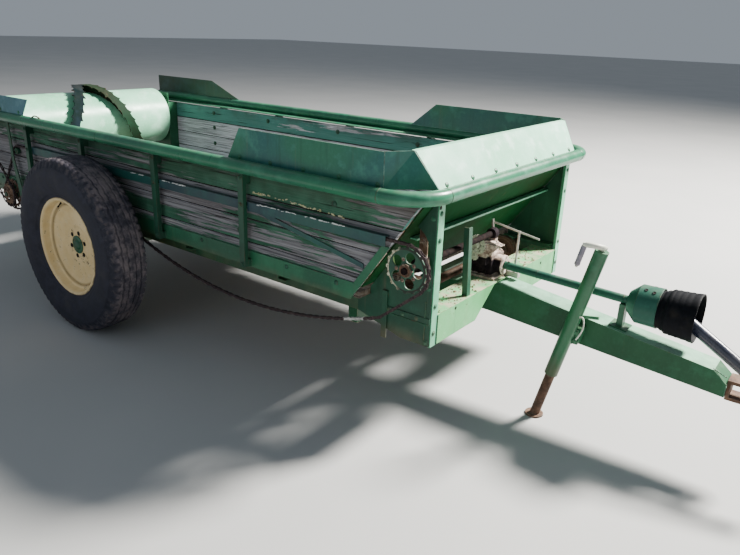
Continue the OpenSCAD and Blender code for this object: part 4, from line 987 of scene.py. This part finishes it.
def planks(side, name, mat, node):
    b = Build()
    nz, nx = 15, 230
    x0 = -1.616
    for i in range(4):
        za, zb = 0.606 + i * 0.1125, 0.606 + i * 0.1125 + 0.1085
        rings = []
        for j in range(nx + 1):
            t = j / nx
            ring = []
            for face in (0, 1):
                for k in range(nz):
                    q = k / (nz - 1)
                    z = za + (zb - za) * (q if face == 0 else 1 - q)
                    xe = slope_x(z) - 0.008
                    if j == nx:
                        xe -= 0.006 * abs(mn.noise((z * 90, i * 3.1 + side, face * 0.2)))
                    x = x0 + t * (xe - x0)
                    g = mn.noise((x * 2.3 + i * 5.7, z * 62 + i * 9, side * 3 + face * 7.0))
                    g2 = mn.noise((x * 5.0, z * 150 + i * 4, face * 5.0 + side))
                    d = 0.0016 + 0.0022 * g + 0.0011 * g2
                    edge = min(q, 1 - q) * 0.1085
                    d += 0.0022 * math.exp(-(edge / 0.004) ** 2) * (0.7 + 0.6 * mn.noise((x * 6, i * 2.0, face)))
                    d = min(max(d, 0.0), 0.0055)
                    zz = z
                    if k in (0, nz - 1):
                        inw = 0.0010 + 0.0016 * abs(mn.noise((x * 7.0, i * 3.0 + (1 if q > 0.5 else 0), side * 2.0)))
                        top = (face == 0 and k == nz - 1) or (face == 1 and k == 0)
                        zz = z - inw if top else z + inw
                    y = -0.750 + d if face == 0 else -0.725 - d * 0.8
                    ring.append(A(x, y * -side, zz))
            rings.append(ring)
        m = len(rings[0])
        v = [q for r in rings for q in r]
        f = [(j * m + k, j * m + (k + 1) % m, (j + 1) * m + (k + 1) % m, (j + 1) * m + k) for j in range(nx) for k in range(m)]
        f += [tuple(range(m - 1, -1, -1)), tuple(nx * m + k for k in range(m))]
        b.add(v, f)
    o = b.obj(name, mat, "chassis", "side_wood", 40, 0, (node,))
    if side < 0:
        # clearance for the beater shaft
        c = Build()
        c.cyl(A(BTR[0], -0.80, BTR[1]), A(BTR[0], -0.68, BTR[1]), 0.044, 40)
        me = bpy.data.meshes.new("cut")
        me.from_pydata(c.v, [], c.f)
        cut = bpy.data.objects.new("cut", me)
        bpy.context.scene.collection.objects.link(cut)
        bm = bmesh.new()
        bm.from_mesh(me)
        bmesh.ops.remove_doubles(bm, verts=bm.verts, dist=1e-4)
        bmesh.ops.recalc_face_normals(bm, faces=bm.faces)
        bm.to_mesh(me)
        bm.free()
        mod = o.modifiers.new("cut", "BOOLEAN")
        mod.operation = "DIFFERENCE"
        mod.object = cut
        mod.solver = "EXACT"
        dg = bpy.context.evaluated_depsgraph_get()
        new = bpy.data.meshes.new_from_object(o.evaluated_get(dg))
        o.modifiers.clear()
        o.data = new
        bpy.data.objects.remove(cut)
    return o


# dark tongues that close the joints between the boards
b = Build()
for s in (-1, 1):
    for i in range(3):
        z = 0.606 + 0.1125 * (i + 1) - 0.002
        xa, xb = -1.612, slope_x(z) - 0.012
        b.box(A((xa + xb) / 2, s * 0.7375, z), (xb - xa, 0.010, 0.0085))
b.obj("board_tongues", gap_dark, "chassis", "side_wood", 40)
planks(-1, "right_boards_weathered", side_r, "right_side_boards")
planks(1, "left_boards_weathered", side_l, "left_side_boards")

# yellow flakes on the near side, and white chip-shaped pieces on the guard's edge and on the strip below it as a
# painted sunlit highlight
rr = random.Random(12)
b = Build()
for x0_, x1_, za, zb, cnt in ((1.218, 1.358, 0.957, 0.961, 24), (1.467, 1.759, 0.955, 0.945, 34), (1.36, 1.47, 0.957, 0.957, 6)):
    for _ in range(cnt):
        t = rr.random()
        x = x0_ + (x1_ - x0_) * t
        z = za + (zb - za) * t + rr.gauss(0, 0.0024)
        L, w = rr.uniform(0.005, 0.017), rr.uniform(0.0022, 0.0052)
        b.box(A(x, -0.7496, z), (L, 0.0032, w), Matrix.Rotation(rr.uniform(-0.3, 0.3), 3, "Y"), 0.8)
b.obj("yellow_paint_flakes", plain("flake_yellow", (0.56, 0.52, 0.26), (0.72, 0.70, 0.50), 0.6, 0.3), "chassis", "side_wood", 40)
b = Build()
for x0_, x1_, cnt in ((0.31, 0.425, 16), (0.567, 0.767, 26)):
    for _ in range(cnt):
        x = rr.uniform(x0_, x1_)
        b.box(A(x, -0.7772 + rr.uniform(-0.0004, 0.0), 0.9196 - abs(rr.gauss(0, 0.0018))), (rr.uniform(0.006, 0.020), 0.0030, rr.uniform(0.0018, 0.0045)), Matrix.Rotation(rr.uniform(-0.12, 0.12), 3, "Y"), 0.8)
x = 1.278
while x < 1.783:
    L = rr.uniform(0.006, 0.022)
    if rr.random() < 0.80:
        b.box(A(x, -0.7772, 0.9196 - abs(rr.gauss(0, 0.0022))), (L, 0.0030, rr.uniform(0.0020, 0.0060)), Matrix.Rotation(rr.uniform(-0.15, 0.15), 3, "Y"), 0.8)
    x += L * 0.8
b.obj("guard_bare_chips", chips_painted_highlight, "chassis", "green_paint", 40)

# ------------------------------------------------------------------ opening in the right front plate
CX, CZ, CR = 2.066, 0.818, 0.127
b = Build()
n = 46
outer, inner = [], []
rr = random.Random(5)
for i in range(n + 1):
    a = math.radians(112 + (212 - 112) * i / n)
    jag = 0.0070 * rr.random() * (1 if i % 2 else 0.3) + 0.004 * math.sin(i * 0.9)
    dep = 0.036 + jag - 0.014 * max(0, (i / n - 0.80) / 0.2)
    outer.append((a, -0.6485 - dep))
    inner.append((a, -0.6485))
v = []
for (a, yo), (_, yi) in zip(outer, inner):
    for r_, y_ in ((CR, yi), (CR, yo), (CR + 0.0022, yo + 0.001), (CR + 0.0022, yi)):
        v.append(A(CX + r_ * math.cos(a), y_, CZ + r_ * math.sin(a)))
f = [(i * 4 + j, i * 4 + (j + 1) % 4, (i + 1) * 4 + (j + 1) % 4, (i + 1) * 4 + j) for i in range(n) for j in range(4)]
f += [(3, 2, 1, 0), (n * 4, n * 4 + 1, n * 4 + 2, n * 4 + 3)]
b.add(v, f)
# the lip's pale green is painted sunlight falling through the opening
b.obj("opening_torn_lip", lip_painted_sunlight, "chassis", "rusty_steel", 40)
# bare, rusty and torn edge of the lip, made pale as painted sunlight
b = Build()
pts = [A(CX + (CR + 0.001) * math.cos(a), y_ - 0.0005, CZ + (CR + 0.001) * math.sin(a)) for a, y_ in outer]
b.tube(pts, [0.0022 + 0.0016 * rr.random() for _ in pts], 6)
for i in range(2, n, 3):
    a, y_ = outer[i]
    c = A(CX + (CR + 0.003) * math.cos(a), y_, CZ + (CR + 0.003) * math.sin(a))
    b.box(c, (rr.uniform(0.006, 0.012), rr.uniform(0.005, 0.010), rr.uniform(0.004, 0.009)), Matrix.Rotation(rr.uniform(0, 3), 3, "Y") @ Matrix.Rotation(rr.uniform(0, 3), 3, "X"), 0.5)
b.obj("opening_torn_edge", torn_edge_painted_sunlight, "chassis", "rusty_steel", 40)
# bolts of the bearing's ear
b = Build()
for x, z in ((2.082, 0.782), (2.112, 0.808), (2.084, 0.822)):
    b.bolt(A(x, -0.6658, z), (0, -1, 0), 0.0065, 0.006, True, True, x)
b.bolt(A(2.072, -0.6415, 0.895), (0, -1, 0), 0.007, 0.006, True, True)
b.obj("bearing_bolts", rust_dark, "chassis", "rusty_steel", 40)

# ------------------------------------------------------------------ gearbox
b = Build()
sprocket(b, (2.034, 0.744), -0.104, 0.0410, 0.0462, 22, 0.0130, 0.012, 6, 0.0070)
b.rev([(-0.114, 1e-5), (-0.114, 0.012), (-0.1125, 0.0145), (-0.098, 0.0145)], A(2.034, 0, 0.744), (0, 1, 0), 24)
# its smaller mate below
sprocket(b, (2.022, 0.684), -0.104, 0.0150, 0.0200, 12, 0.0110, 0.006, 3, 0.0060)
b.rev([(-0.113, 1e-5), (-0.113, 0.006), (-0.111, 0.0075), (-0.094, 0.0075)], A(2.022, 0, 0.684), (0, 1, 0), 16)
b.obj("gearbox_open_gears", gear_pale, "chassis", "rusty_casting", 35)
b = Build()
# round flange and its bolts on the input side
b.rev([(2.128, 0.030), (2.1325, 0.031), (2.1325, 0.0450), (2.129, 0.0465), (2.120, 0.0465), (2.118, 0.0450)], A(0, 0, 0.640), (1, 0, 0), 40, True)
for i in range(6):
    a = i * math.pi / 3 + 0.2
    b.bolt(A(2.1325, 0.039 * math.cos(a), 0.640 + 0.039 * math.sin(a)), (1, 0, 0), 0.0052, 0.004, False)
# cover on top, ribs, bosses, corner bolts
b.box(A(2.038, 0, 0.6895), (0.096, 0.112, 0.007))
for x in (1.998, 2.038, 2.080):
    for y in (-0.046, 0.046):
        b.bolt(A(x, y, 0.693), (0, 0, 1), 0.006, 0.005, True, True, x)
for s in (-1, 1):
    for x in (2.000, 2.034, 2.070):
        b.box(A(x, s * 0.0645, 0.634), (0.007, 0.008, 0.090))
    b.rev([(0.060, 0.030), (0.072, 0.028), (0.075, 0.024), (0.075, 1e-5)], A(2.038, 0, 0.634), (0, s, 0), 28)
    for i in range(4):
        a = i * math.pi / 2 + 0.6
        b.bolt(A(2.038 + 0.020 * math.cos(a), s * 0.075, 0.634 + 0.020 * math.sin(a)), (0, s, 0), 0.0042, 0.003, False)
    for x in (1.968, 2.104):
        b.bolt(A(x, s * 0.070, 0.589), (0, 0, 1), 0.0075, 0.007, True, True, x)
# caked lumps on the casting's shoulder
rr = random.Random(22)
crest = [(1.994, 0.722), (2.040, 0.768), (2.092, 0.772), (2.148, 0.756)]
for _ in range(54):
    k = rr.randrange(3)
    t = rr.random()
    th = rr.uniform(0, 6.28)
    px_, pz_ = crest[k][0] + (crest[k + 1][0] - crest[k][0]) * t, crest[k][1] + (crest[k + 1][1] - crest[k][1]) * t
    if abs(px_ - 2.082) < 0.020:
        continue
    b.box(A(px_, rr.uniform(-0.094, -0.063), pz_ + 0.0005), (rr.uniform(0.006, 0.014), rr.uniform(0.006, 0.012), rr.uniform(0.004, 0.008)), Matrix.Rotation(rr.uniform(-0.5, 0.5), 3, "X") @ Matrix.Rotation(th, 3, "Z"), 0.5)
for x, z in ((2.012, 0.664), (2.066, 0.700), (2.126, 0.752), (2.104, 0.745)):
    b.bolt(A(x, -0.097, z), (0, -1, 0), 0.0062, 0.006, True, True, x)
# rib along the shoulder's face
b.tube([A(2.046, -0.0975, 0.752), A(2.090, -0.0975, 0.757), A(2.134, -0.0975, 0.748)], [0.0045, 0.0055, 0.0045], 8)
b.obj("gearbox_covers_and_bolts", gearcase_painted_shade, "chassis", "rusty_casting", 40)
# bright little end of a pipe plug
b = Build()
b.cyl(A(2.062, -0.0750, 0.662), A(2.062, -0.0815, 0.662), 0.0085, 12, None, 0.002)
b.obj("gearbox_plug", clip_m, "chassis", "worn_steel", 35)

# crumbs of dirt on the pan and the casting's foot
b = Build()
rr = random.Random(77)
for _ in range(230):
    y = rr.uniform(-0.585, 0.585)
    x = rr.uniform(2.012, 2.132)
    if abs(y) < 0.095 and x < 2.125:
        continue
    s_ = rr.uniform(0.0016, 0.0055) * (1.5 if rr.random() < 0.12 else 1.0)
    b.box(A(x, y, 0.5775 + s_ * 0.3), (s_ * rr.uniform(0.7, 1.8), s_ * rr.uniform(0.7, 1.6), s_), Matrix.Rotation(rr.uniform(0, 3), 3, "Z") @ Matrix.Rotation(rr.uniform(-0.5, 0.5), 3, "X"), 0.6)
b.obj("dirt_crumbs_on_pan", dirt_m, "chassis", "sunlit_green_paint", 40)

# ------------------------------------------------------------------ jack
JL = math.radians(12.9)
JX, JZ = Vector((math.cos(JL), 0, -math.sin(JL))), Vector((math.sin(JL), 0, math.cos(JL)))


def J(x, y, z):
    return A(2.420, -0.123, 0) + JX * x + Vector((0, y, 0)) + JZ * z


ca_, sa_ = math.cos(math.radians(215)), math.sin(math.radians(215))
b = Build()
# screw end and collar
b.rev([(0.828, 1e-5), (0.828, 0.009), (0.8755, 0.009), (0.877, 0.0125), (0.8805, 0.0125), (0.8815, 0.009), (0.893, 0.0085), (0.894, 1e-5)], J(0, 0, 0), JZ, 20)
# bowed arm from the screw to the grip
arm = []
for i in range(17):
    t = i / 16
    r_ = -0.012 + 0.098 * t
    bow = 0.017 * math.sin(math.pi * t)
    arm.append(J(ca_ * r_ - sa_ * bow, sa_ * r_ + ca_ * bow, 0.8845 + 0.0085 * math.sin(math.pi * t) - 0.004 * t))
b.tube(arm, [0.0120 if 1 < i < 15 else 0.0090 for i in range(17)], 12)
b.cyl(J(ca_ * 0.078, sa_ * 0.078, 0.776), J(ca_ * 0.078, sa_ * 0.078, 0.888), 0.006, 14, None, 0.002)
b.obj("jack_crank_arm", clip_m, "jack_crank", "worn_steel", 40, 0, ("jack_crank",))
b = Build()
g0 = [(0.7855, 0.0066), (0.7855, 0.0105), (0.7875, 0.012), (0.870, 0.0118), (0.876, 0.0105), (0.877, 0.0066)]
for q in range(7):
    z_ = 0.797 + q * 0.011
    g0[3 + q * 2:3 + q * 2] = [(z_, 0.0121), (z_ + 0.004, 0.0112)]
b.rev(g0, J(ca_ * 0.078, sa_ * 0.078, 0), JZ, 24, True)
b.obj("jack_crank_grip", grip_m, "jack_crank", "worn_steel", 40)
b = Build()
# rolled edges and weld round the tube, and a worn clamp
for z_ in (0.241, 0.868):
    b.rev([(z_ - 0.003, 0.0292), (z_ - 0.002, 0.0302), (z_ + 0.0015, 0.0302), (z_ + 0.002, 0.0292)], J(0, 0, 0), JZ, 40, True)
for z_ in (0.417, 0.470):
    pts = [J(0.0305 * math.cos(a), 0.0305 * math.sin(a), z_ + 0.0010 * math.sin(a * 9)) for a in np.linspace(0.3, 2.8, 16)]
    b.tube(pts, 0.0028, 6)
for x, z in ((2.512, 0.420), (2.556, 0.420), (2.560, 0.462)):
    b.bolt(A(x, -0.123 + 0.0, z), (0, -1, 0), 0.0075, 0.006, True, True, x)
b.obj("jack_tube_trim", jack_green, "chassis", "green_paint", 40)
# pale wire clip that hangs from the pin
b = Build()
cp = catmull([(2.574, -0.152, 0.547), (2.586, -0.156, 0.551), (2.595, -0.156, 0.538), (2.597, -0.156, 0.507), (2.588, -0.156, 0.475), (2.573, -0.156, 0.444)], 5)
b.tube([A(*q) for q in cp], 0.0036, 8)
b.obj("jack_pin_clip", clip_m, "chassis", "worn_steel", 60)

# ------------------------------------------------------------------ driveline shield and boot
b = Build()
# holes in the shield: shallow cups painted near-black as shade
for x_, a_ in ((2.792, 0.42), (2.826, 0.50), (2.812, -0.55)):
    r_ = 0.0848 + (x_ - 2.766) * 0.0227
    dn = Vector((0, -math.sin(a_), math.cos(a_)))
    b.rev([(-0.001, 0.0075), (0.0009, 0.0075), (0.0012, 0.0060), (0.0002, 0.0045), (0.0002, 1e-5)], A(x_, 0, 0.620) + dn * r_, dn, 18)
b.obj("shield_holes", holes_painted_shade, "chassis", "black_rubber", 35)
b = Build()
b.rev([(2.7235, 0.020), (2.7235, 0.0455), (2.7255, 0.047), (2.7275, 0.0462), (2.7275, 0.020)], A(0, 0, 0.620), (1, 0, 0), 48, True)
b.rev([(2.8500, 0.0822), (2.8500, 0.0862), (2.8525, 0.0868), (2.8545, 0.0862), (2.8545, 0.0822)], A(0, 0, 0.620), (1, 0, 0), 64, True)
for x_ in (2.150, 2.30, 2.52, 2.70):
    z_ = 0.640 - (x_ - 2.134) * 0.0314
    b.rev([(x_ - 0.004, 0.0188), (x_ - 0.002, 0.0203), (x_ + 0.002, 0.0203), (x_ + 0.004, 0.0188)], A(0, 0, z_), (1, 0, 0), 32, True)
b.obj("shield_beads", shield_paint, "chassis", "green_paint", 40)
b = Build()
prof = [(0.000, 0.0625), (0.000, 0.0795), (0.006, 0.0800), (0.010, 0.0795), (0.013, 0.0820), (0.022, 0.0870), (0.028, 0.0865), (0.034, 0.0915), (0.040, 0.0958), (0.048, 0.0945), (0.054, 0.0952),
        (0.060, 0.0970), (0.070, 0.0960), (0.078, 0.0968), (0.084, 0.0984), (0.094, 0.0974), (0.102, 0.0984), (0.108, 0.1000), (0.118, 0.0990), (0.126, 0.1000), (0.132, 0.1018), (0.142, 0.1022),
        (0.1495, 0.1036), (0.1515, 0.1020), (0.1515, 0.0990), (0.146, 0.0978), (0.090, 0.0925), (0.044, 0.0898), (0.016, 0.0722), (0.011, 0.0640)]
b.rev(prof, A(2.852, 0, 0.618), (1, 0, 0), 80, True)
b.obj("driveline_boot_ribbed", boot_m, "chassis", "black_rubber", 50, 0, ("driveline_boot",))

# ------------------------------------------------------------------ sheets and frame: bolts, welds, edges
b = Build()
for s in (-1, 1):
    x = 1.20
    while x < 1.98:
        b.bolt(A(x, s * 0.8060, 1.124), (0, s, 0), 0.0065, 0.004, True, False)
        x += 0.19
    x = -1.58
    while x < -0.68:
        b.bolt(A(x, s * 0.8330, 1.133), (0, s, 0), 0.0065, 0.004, True, False)
        x += 0.22
    for z in (0.70, 0.86, 1.02):
        b.bolt(A(-1.27, s * 0.6480, z), (0, -s, 0), 0.008, 0.006, True, True, z)
for y in np.linspace(-0.60, 0.60, 7):
    nrm = Vector((0.847, 0, 0.532))
    b.bolt(A(2.1385, y, 1.121), nrm, 0.0065, 0.004, True, False)
for s in (-1, 1):
    for z in (0.50, 0.62, 0.90, 1.01):
        b.bolt(A(2.138, s * 0.622, z), (1, 0, 0), 0.0070, 0.005, True, True, z)
    for z in (0.462, 0.70, 0.99):
        b.bolt(A(2.118, s * 0.648, z), (0, s, 0), 0.0070, 0.005, True, True, z)
for x in (1.93, 2.00, 2.07):
    b.bolt(A(x, -0.652, 0.557), (0, -1, 0), 0.0060, 0.004, True, True, x)
b.obj("sheet_bolts", green_side, "chassis", "green_paint", 40)

b = Build()
# hole at the top of the near post, its inside painted near-black as shade
b.rev([(0.0, 0.0085), (0.0006, 0.0085), (0.0008, 0.0070), (0.0002, 0.0060), (0.0002, 1e-5)], A(2.138, -0.632, 1.035), (1, 0, 0), 20)
for y, z in ((-0.45, 0.560), (0.42, 0.545), (0.18, 0.560)):
    b.rev([(0.0, 0.0075), (0.0006, 0.0075), (0.0008, 0.0062), (0.0002, 0.0055), (0.0002, 1e-5)], A(2.1375, y, z), (1, 0, 0), 18)
b.obj("post_holes", holes_painted_shade, "chassis", "rusty_steel", 35)


def weld(b, p, q, r=0.003, step=0.006):
    "a run of overlapping beads from p to q"
    p, q = Vector(p), Vector(q)
    n = max(int((q - p).length / step), 2)
    pts = [p.lerp(q, i / n) for i in range(n + 1)]
    b.tube(pts, [r * (0.8 + 0.35 * (i % 2)) for i in range(n + 1)], 6)


b = Build()
for s in (-1, 1):
    weld(b, A(2.110, s * 0.6495, 0.445), A(2.110, s * 0.6495, 0.640))
    weld(b, A(2.139, s * 0.596, 0.442), A(2.139, s * 0.596, 0.575))
    weld(b, A(1.91, s * 0.6525, 0.5435), A(2.13, s * 0.6525, 0.5435), 0.0022)
    for x in stakes:
        weld(b, A(x - 0.0185, s * 0.7555, 0.606), A(x - 0.0185, s * 0.7555, 0.640), 0.0024)
        weld(b, A(x + 0.0185, s * 0.7555, 0.606), A(x + 0.0185, s * 0.7555, 0.640), 0.0024)
    # rings where the front rail joins the side rails and the bends
    for c, d in ((A(1.9905, s * 0.830, 1.089), (1, 0, 0)), (A(2.170, s * 0.650, 1.089), (0, 1, 0)), (A(0.14, s * 0.830, 1.089), (1, 0, 0))):
        b.rev([(-0.003, 0.0296), (-0.0015, 0.0311), (0.0015, 0.0311), (0.003, 0.0296)], c, d, 40, True)
    weld(b, A(-0.040, s * 0.7905, 0.4885), A(-0.040, s * 0.702, 0.4885))
    weld(b, A(0.040, s * 0.7905, 0.4885), A(0.040, s * 0.702, 0.4885))
weld(b, A(2.134, -0.0515, 0.568), A(1.97, -0.0515, 0.534), 0.0025)
weld(b, A(3.100, -0.0500, 0.448), A(3.155, -0.0490, 0.425), 0.0025)
b.obj("weld_beads", green, "chassis", "green_paint", 50)

# rusty joint between the front sheet and the rail
b = Build()
rr = random.Random(8)
pts = [A(2.1468 + rr.uniform(-0.0010, 0.0010), y, 1.1078 + rr.uniform(-0.0012, 0.0012)) for y in np.linspace(-0.62, 0.62, 72)]
b.tube(pts, [rr.uniform(0.0014, 0.0034) for _ in pts], 6)
b.obj("front_sheet_joint", rust_dark, "chassis", "rusty_steel", 50)

# hook of a tie on the near rail
b = Build()
cp = catmull([(-0.548, -0.832, 1.117), (-0.528, -0.832, 1.127), (-0.505, -0.832, 1.130), (-0.480, -0.831, 1.126), (-0.462, -0.830, 1.119)], 5)
b.tube([A(*q) for q in cp], 0.0042, 8)
b.obj("rail_hook", rust_dark, "chassis", "rusty_steel", 60)

# ------------------------------------------------------------------ apron: links, wheels and slat bolts
b = Build()
for y in (-0.430, 0.430):
    for zc, x0_, x1_ in ((0.6375, -1.33, 1.90), (0.5075, -1.33, 1.90)):
        x = x0_
        k = 0
        while x < x1_:
            for sy in (-1, 1):
                b.box(A(x + 0.020, y + sy * (0.0165 if k % 2 else 0.0145), zc), (0.044, 0.0030, 0.0135))
            b.cyl(A(x, y - 0.0185, zc), A(x, y + 0.0185, zc), 0.0050, 8)
            x += 0.040
            k += 1
for x in (-1.345, 1.910):
    for y in (-0.430, 0.430):
        for i in range(8):
            a = i * math.pi / 4
            R = Matrix.Rotation(-a, 3, "Y")
            b.box(A(x + 0.060 * math.cos(a), y, 0.5725 + 0.060 * math.sin(a)), (0.016, 0.020, 0.014), R, 1.0)
        b.rev([(-0.030, 0.021), (-0.030, 0.034), (0.030, 0.034), (0.030, 0.021)], A(x, y, 0.5725), (0, 1, 0), 24, True)
for i in range(9):
    for y in (-0.430, 0.430):
        for dx in (0.007, 0.023):
            b.bolt(A(-1.180 + i * 0.330 + dx, y, 0.650), (0, 0, 1), 0.0045, 0.003, False)
b.obj("apron_links", rust_dark, "chassis", "rusty_steel", 40)
b = Build()
rr = random.Random(41)
for i in range(8):
    yc = -0.723 + (i + 0.5) * 1.446 / 8
    for x in (-1.20, -0.40, 0.35, 1.10, 1.76):
        for dy in (-0.055, 0.055):
            b.rev([(-0.0005, 0.0048), (0.0006, 0.0046), (0.0008, 1e-5)], A(x + rr.uniform(-0.006, 0.006), yc + dy, 0.628), (0, 0, 1), 10)
b.obj("floor_nails", rust_dark, "chassis", "rusty_steel", 40)

# underside: U bolts on the axle's saddles, nuts on the tongue's cross member
b = Build()
for s in (-1, 1):
    for x in (-0.052, 0.052):
        for y in (0.612, 0.634):
            b.cyl(A(x, s * y, 0.412), A(x, s * y, 0.520), 0.0060, 10, None, 0.001)
            b.bolt(A(x, s * y, 0.424), (0, 0, -1), 0.0095, 0.009, True, True, y)
    b.box(A(0, s * 0.623, 0.4205), (0.126, 0.046, 0.006))
    for x in (1.712, 1.738):
        b.bolt(A(x, s * 0.625, 0.436), (0, 0, -1), 0.0080, 0.006, True, True, x)
    b.bolt(A(1.725, s * 0.15, 0.436), (0, 0, -1), 0.0080, 0.006, True, True)
for x in (1.80, 1.90, 2.02):
    b.bolt(A(x, -0.050, 0.470), (0, -1, 0), 0.0085, 0.007, True, True, x)
    b.bolt(A(x, 0.050, 0.470), (0, 1, 0), 0.0085, 0.007, True, True, x)
b.obj("chassis_bolts", rust, "chassis", "rusty_steel", 40)

# ------------------------------------------------------------------ floor, backdrop, lights, camera
fl = bpy.data.meshes.new("floor")
fl.from_pydata([(-60, -60, 0), (60, -60, 0), (60, 60, 0), (-60, 60, 0)], [], [(0, 1, 2, 3)])
fo = bpy.data.objects.new("studio_floor", fl)
bpy.context.scene.collection.objects.link(fo)
M = Mat("studio_floor", 0.9, 0, 0.2)
fl.materials.append(M.done(M.mix(M.step(M.noise(0.7, 3), 0.3, 0.7), (0.44, 0.445, 0.44), (0.47, 0.47, 0.465)), None, None))

world = bpy.data.worlds.new("studio")
bpy.context.scene.world = world
world.use_nodes = True
bg = world.node_tree.nodes["Background"]
bg.inputs[0].default_value = (0.78, 0.88, 1.0, 1)
bg.inputs[1].default_value = 0.34


def area(name, loc, target, size, power, col):
    l = bpy.data.lights.new(name, "AREA")
    l.shape = "DISK"
    l.size = size
    l.energy = power
    l.color = col
    o = bpy.data.objects.new(name, l)
    o.location = loc
    o.rotation_euler = (Vector(target) - Vector(loc)).to_track_quat("-Z", "Y").to_euler()
    bpy.context.scene.collection.objects.link(o)


area("key", (5.0, 6.3, 8.0), (0.2, 0, 0.6), 2.2, 6600, (1.0, 0.965, 0.90))
area("fill", (1.0, -8.0, 4.0), (0, 0, 0.7), 6.0, 60, (0.80, 0.90, 1.0))

cam = bpy.data.cameras.new("photo_camera")
cam.sensor_fit = "HORIZONTAL"
cam.sensor_width = 36.0
cam.lens = 673.144 * 36.0 / 740.0
cam.clip_start, cam.clip_end = 0.05, 200
co = bpy.data.objects.new("photo_camera", cam)
bpy.context.scene.collection.objects.link(co)
yaw, pitch, roll = (math.radians(a) for a in (126.9598, 20.3002, 2.0901))
fwd = Vector((math.cos(yaw) * math.cos(pitch), math.sin(yaw) * math.cos(pitch), -math.sin(pitch)))
right = Vector((math.sin(yaw), -math.cos(yaw), 0))
up = right.cross(fwd)
r2 = right * math.cos(roll) + up * math.sin(roll)
u2 = -right * math.sin(roll) + up * math.cos(roll)
pos = A(3.4449, -2.8061, 1.6726)
co.matrix_world = Matrix(((r2.x, u2.x, -fwd.x, pos.x), (r2.y, u2.y, -fwd.y, pos.y), (r2.z, u2.z, -fwd.z, pos.z), (0, 0, 0, 1)))
bpy.context.scene.camera = co
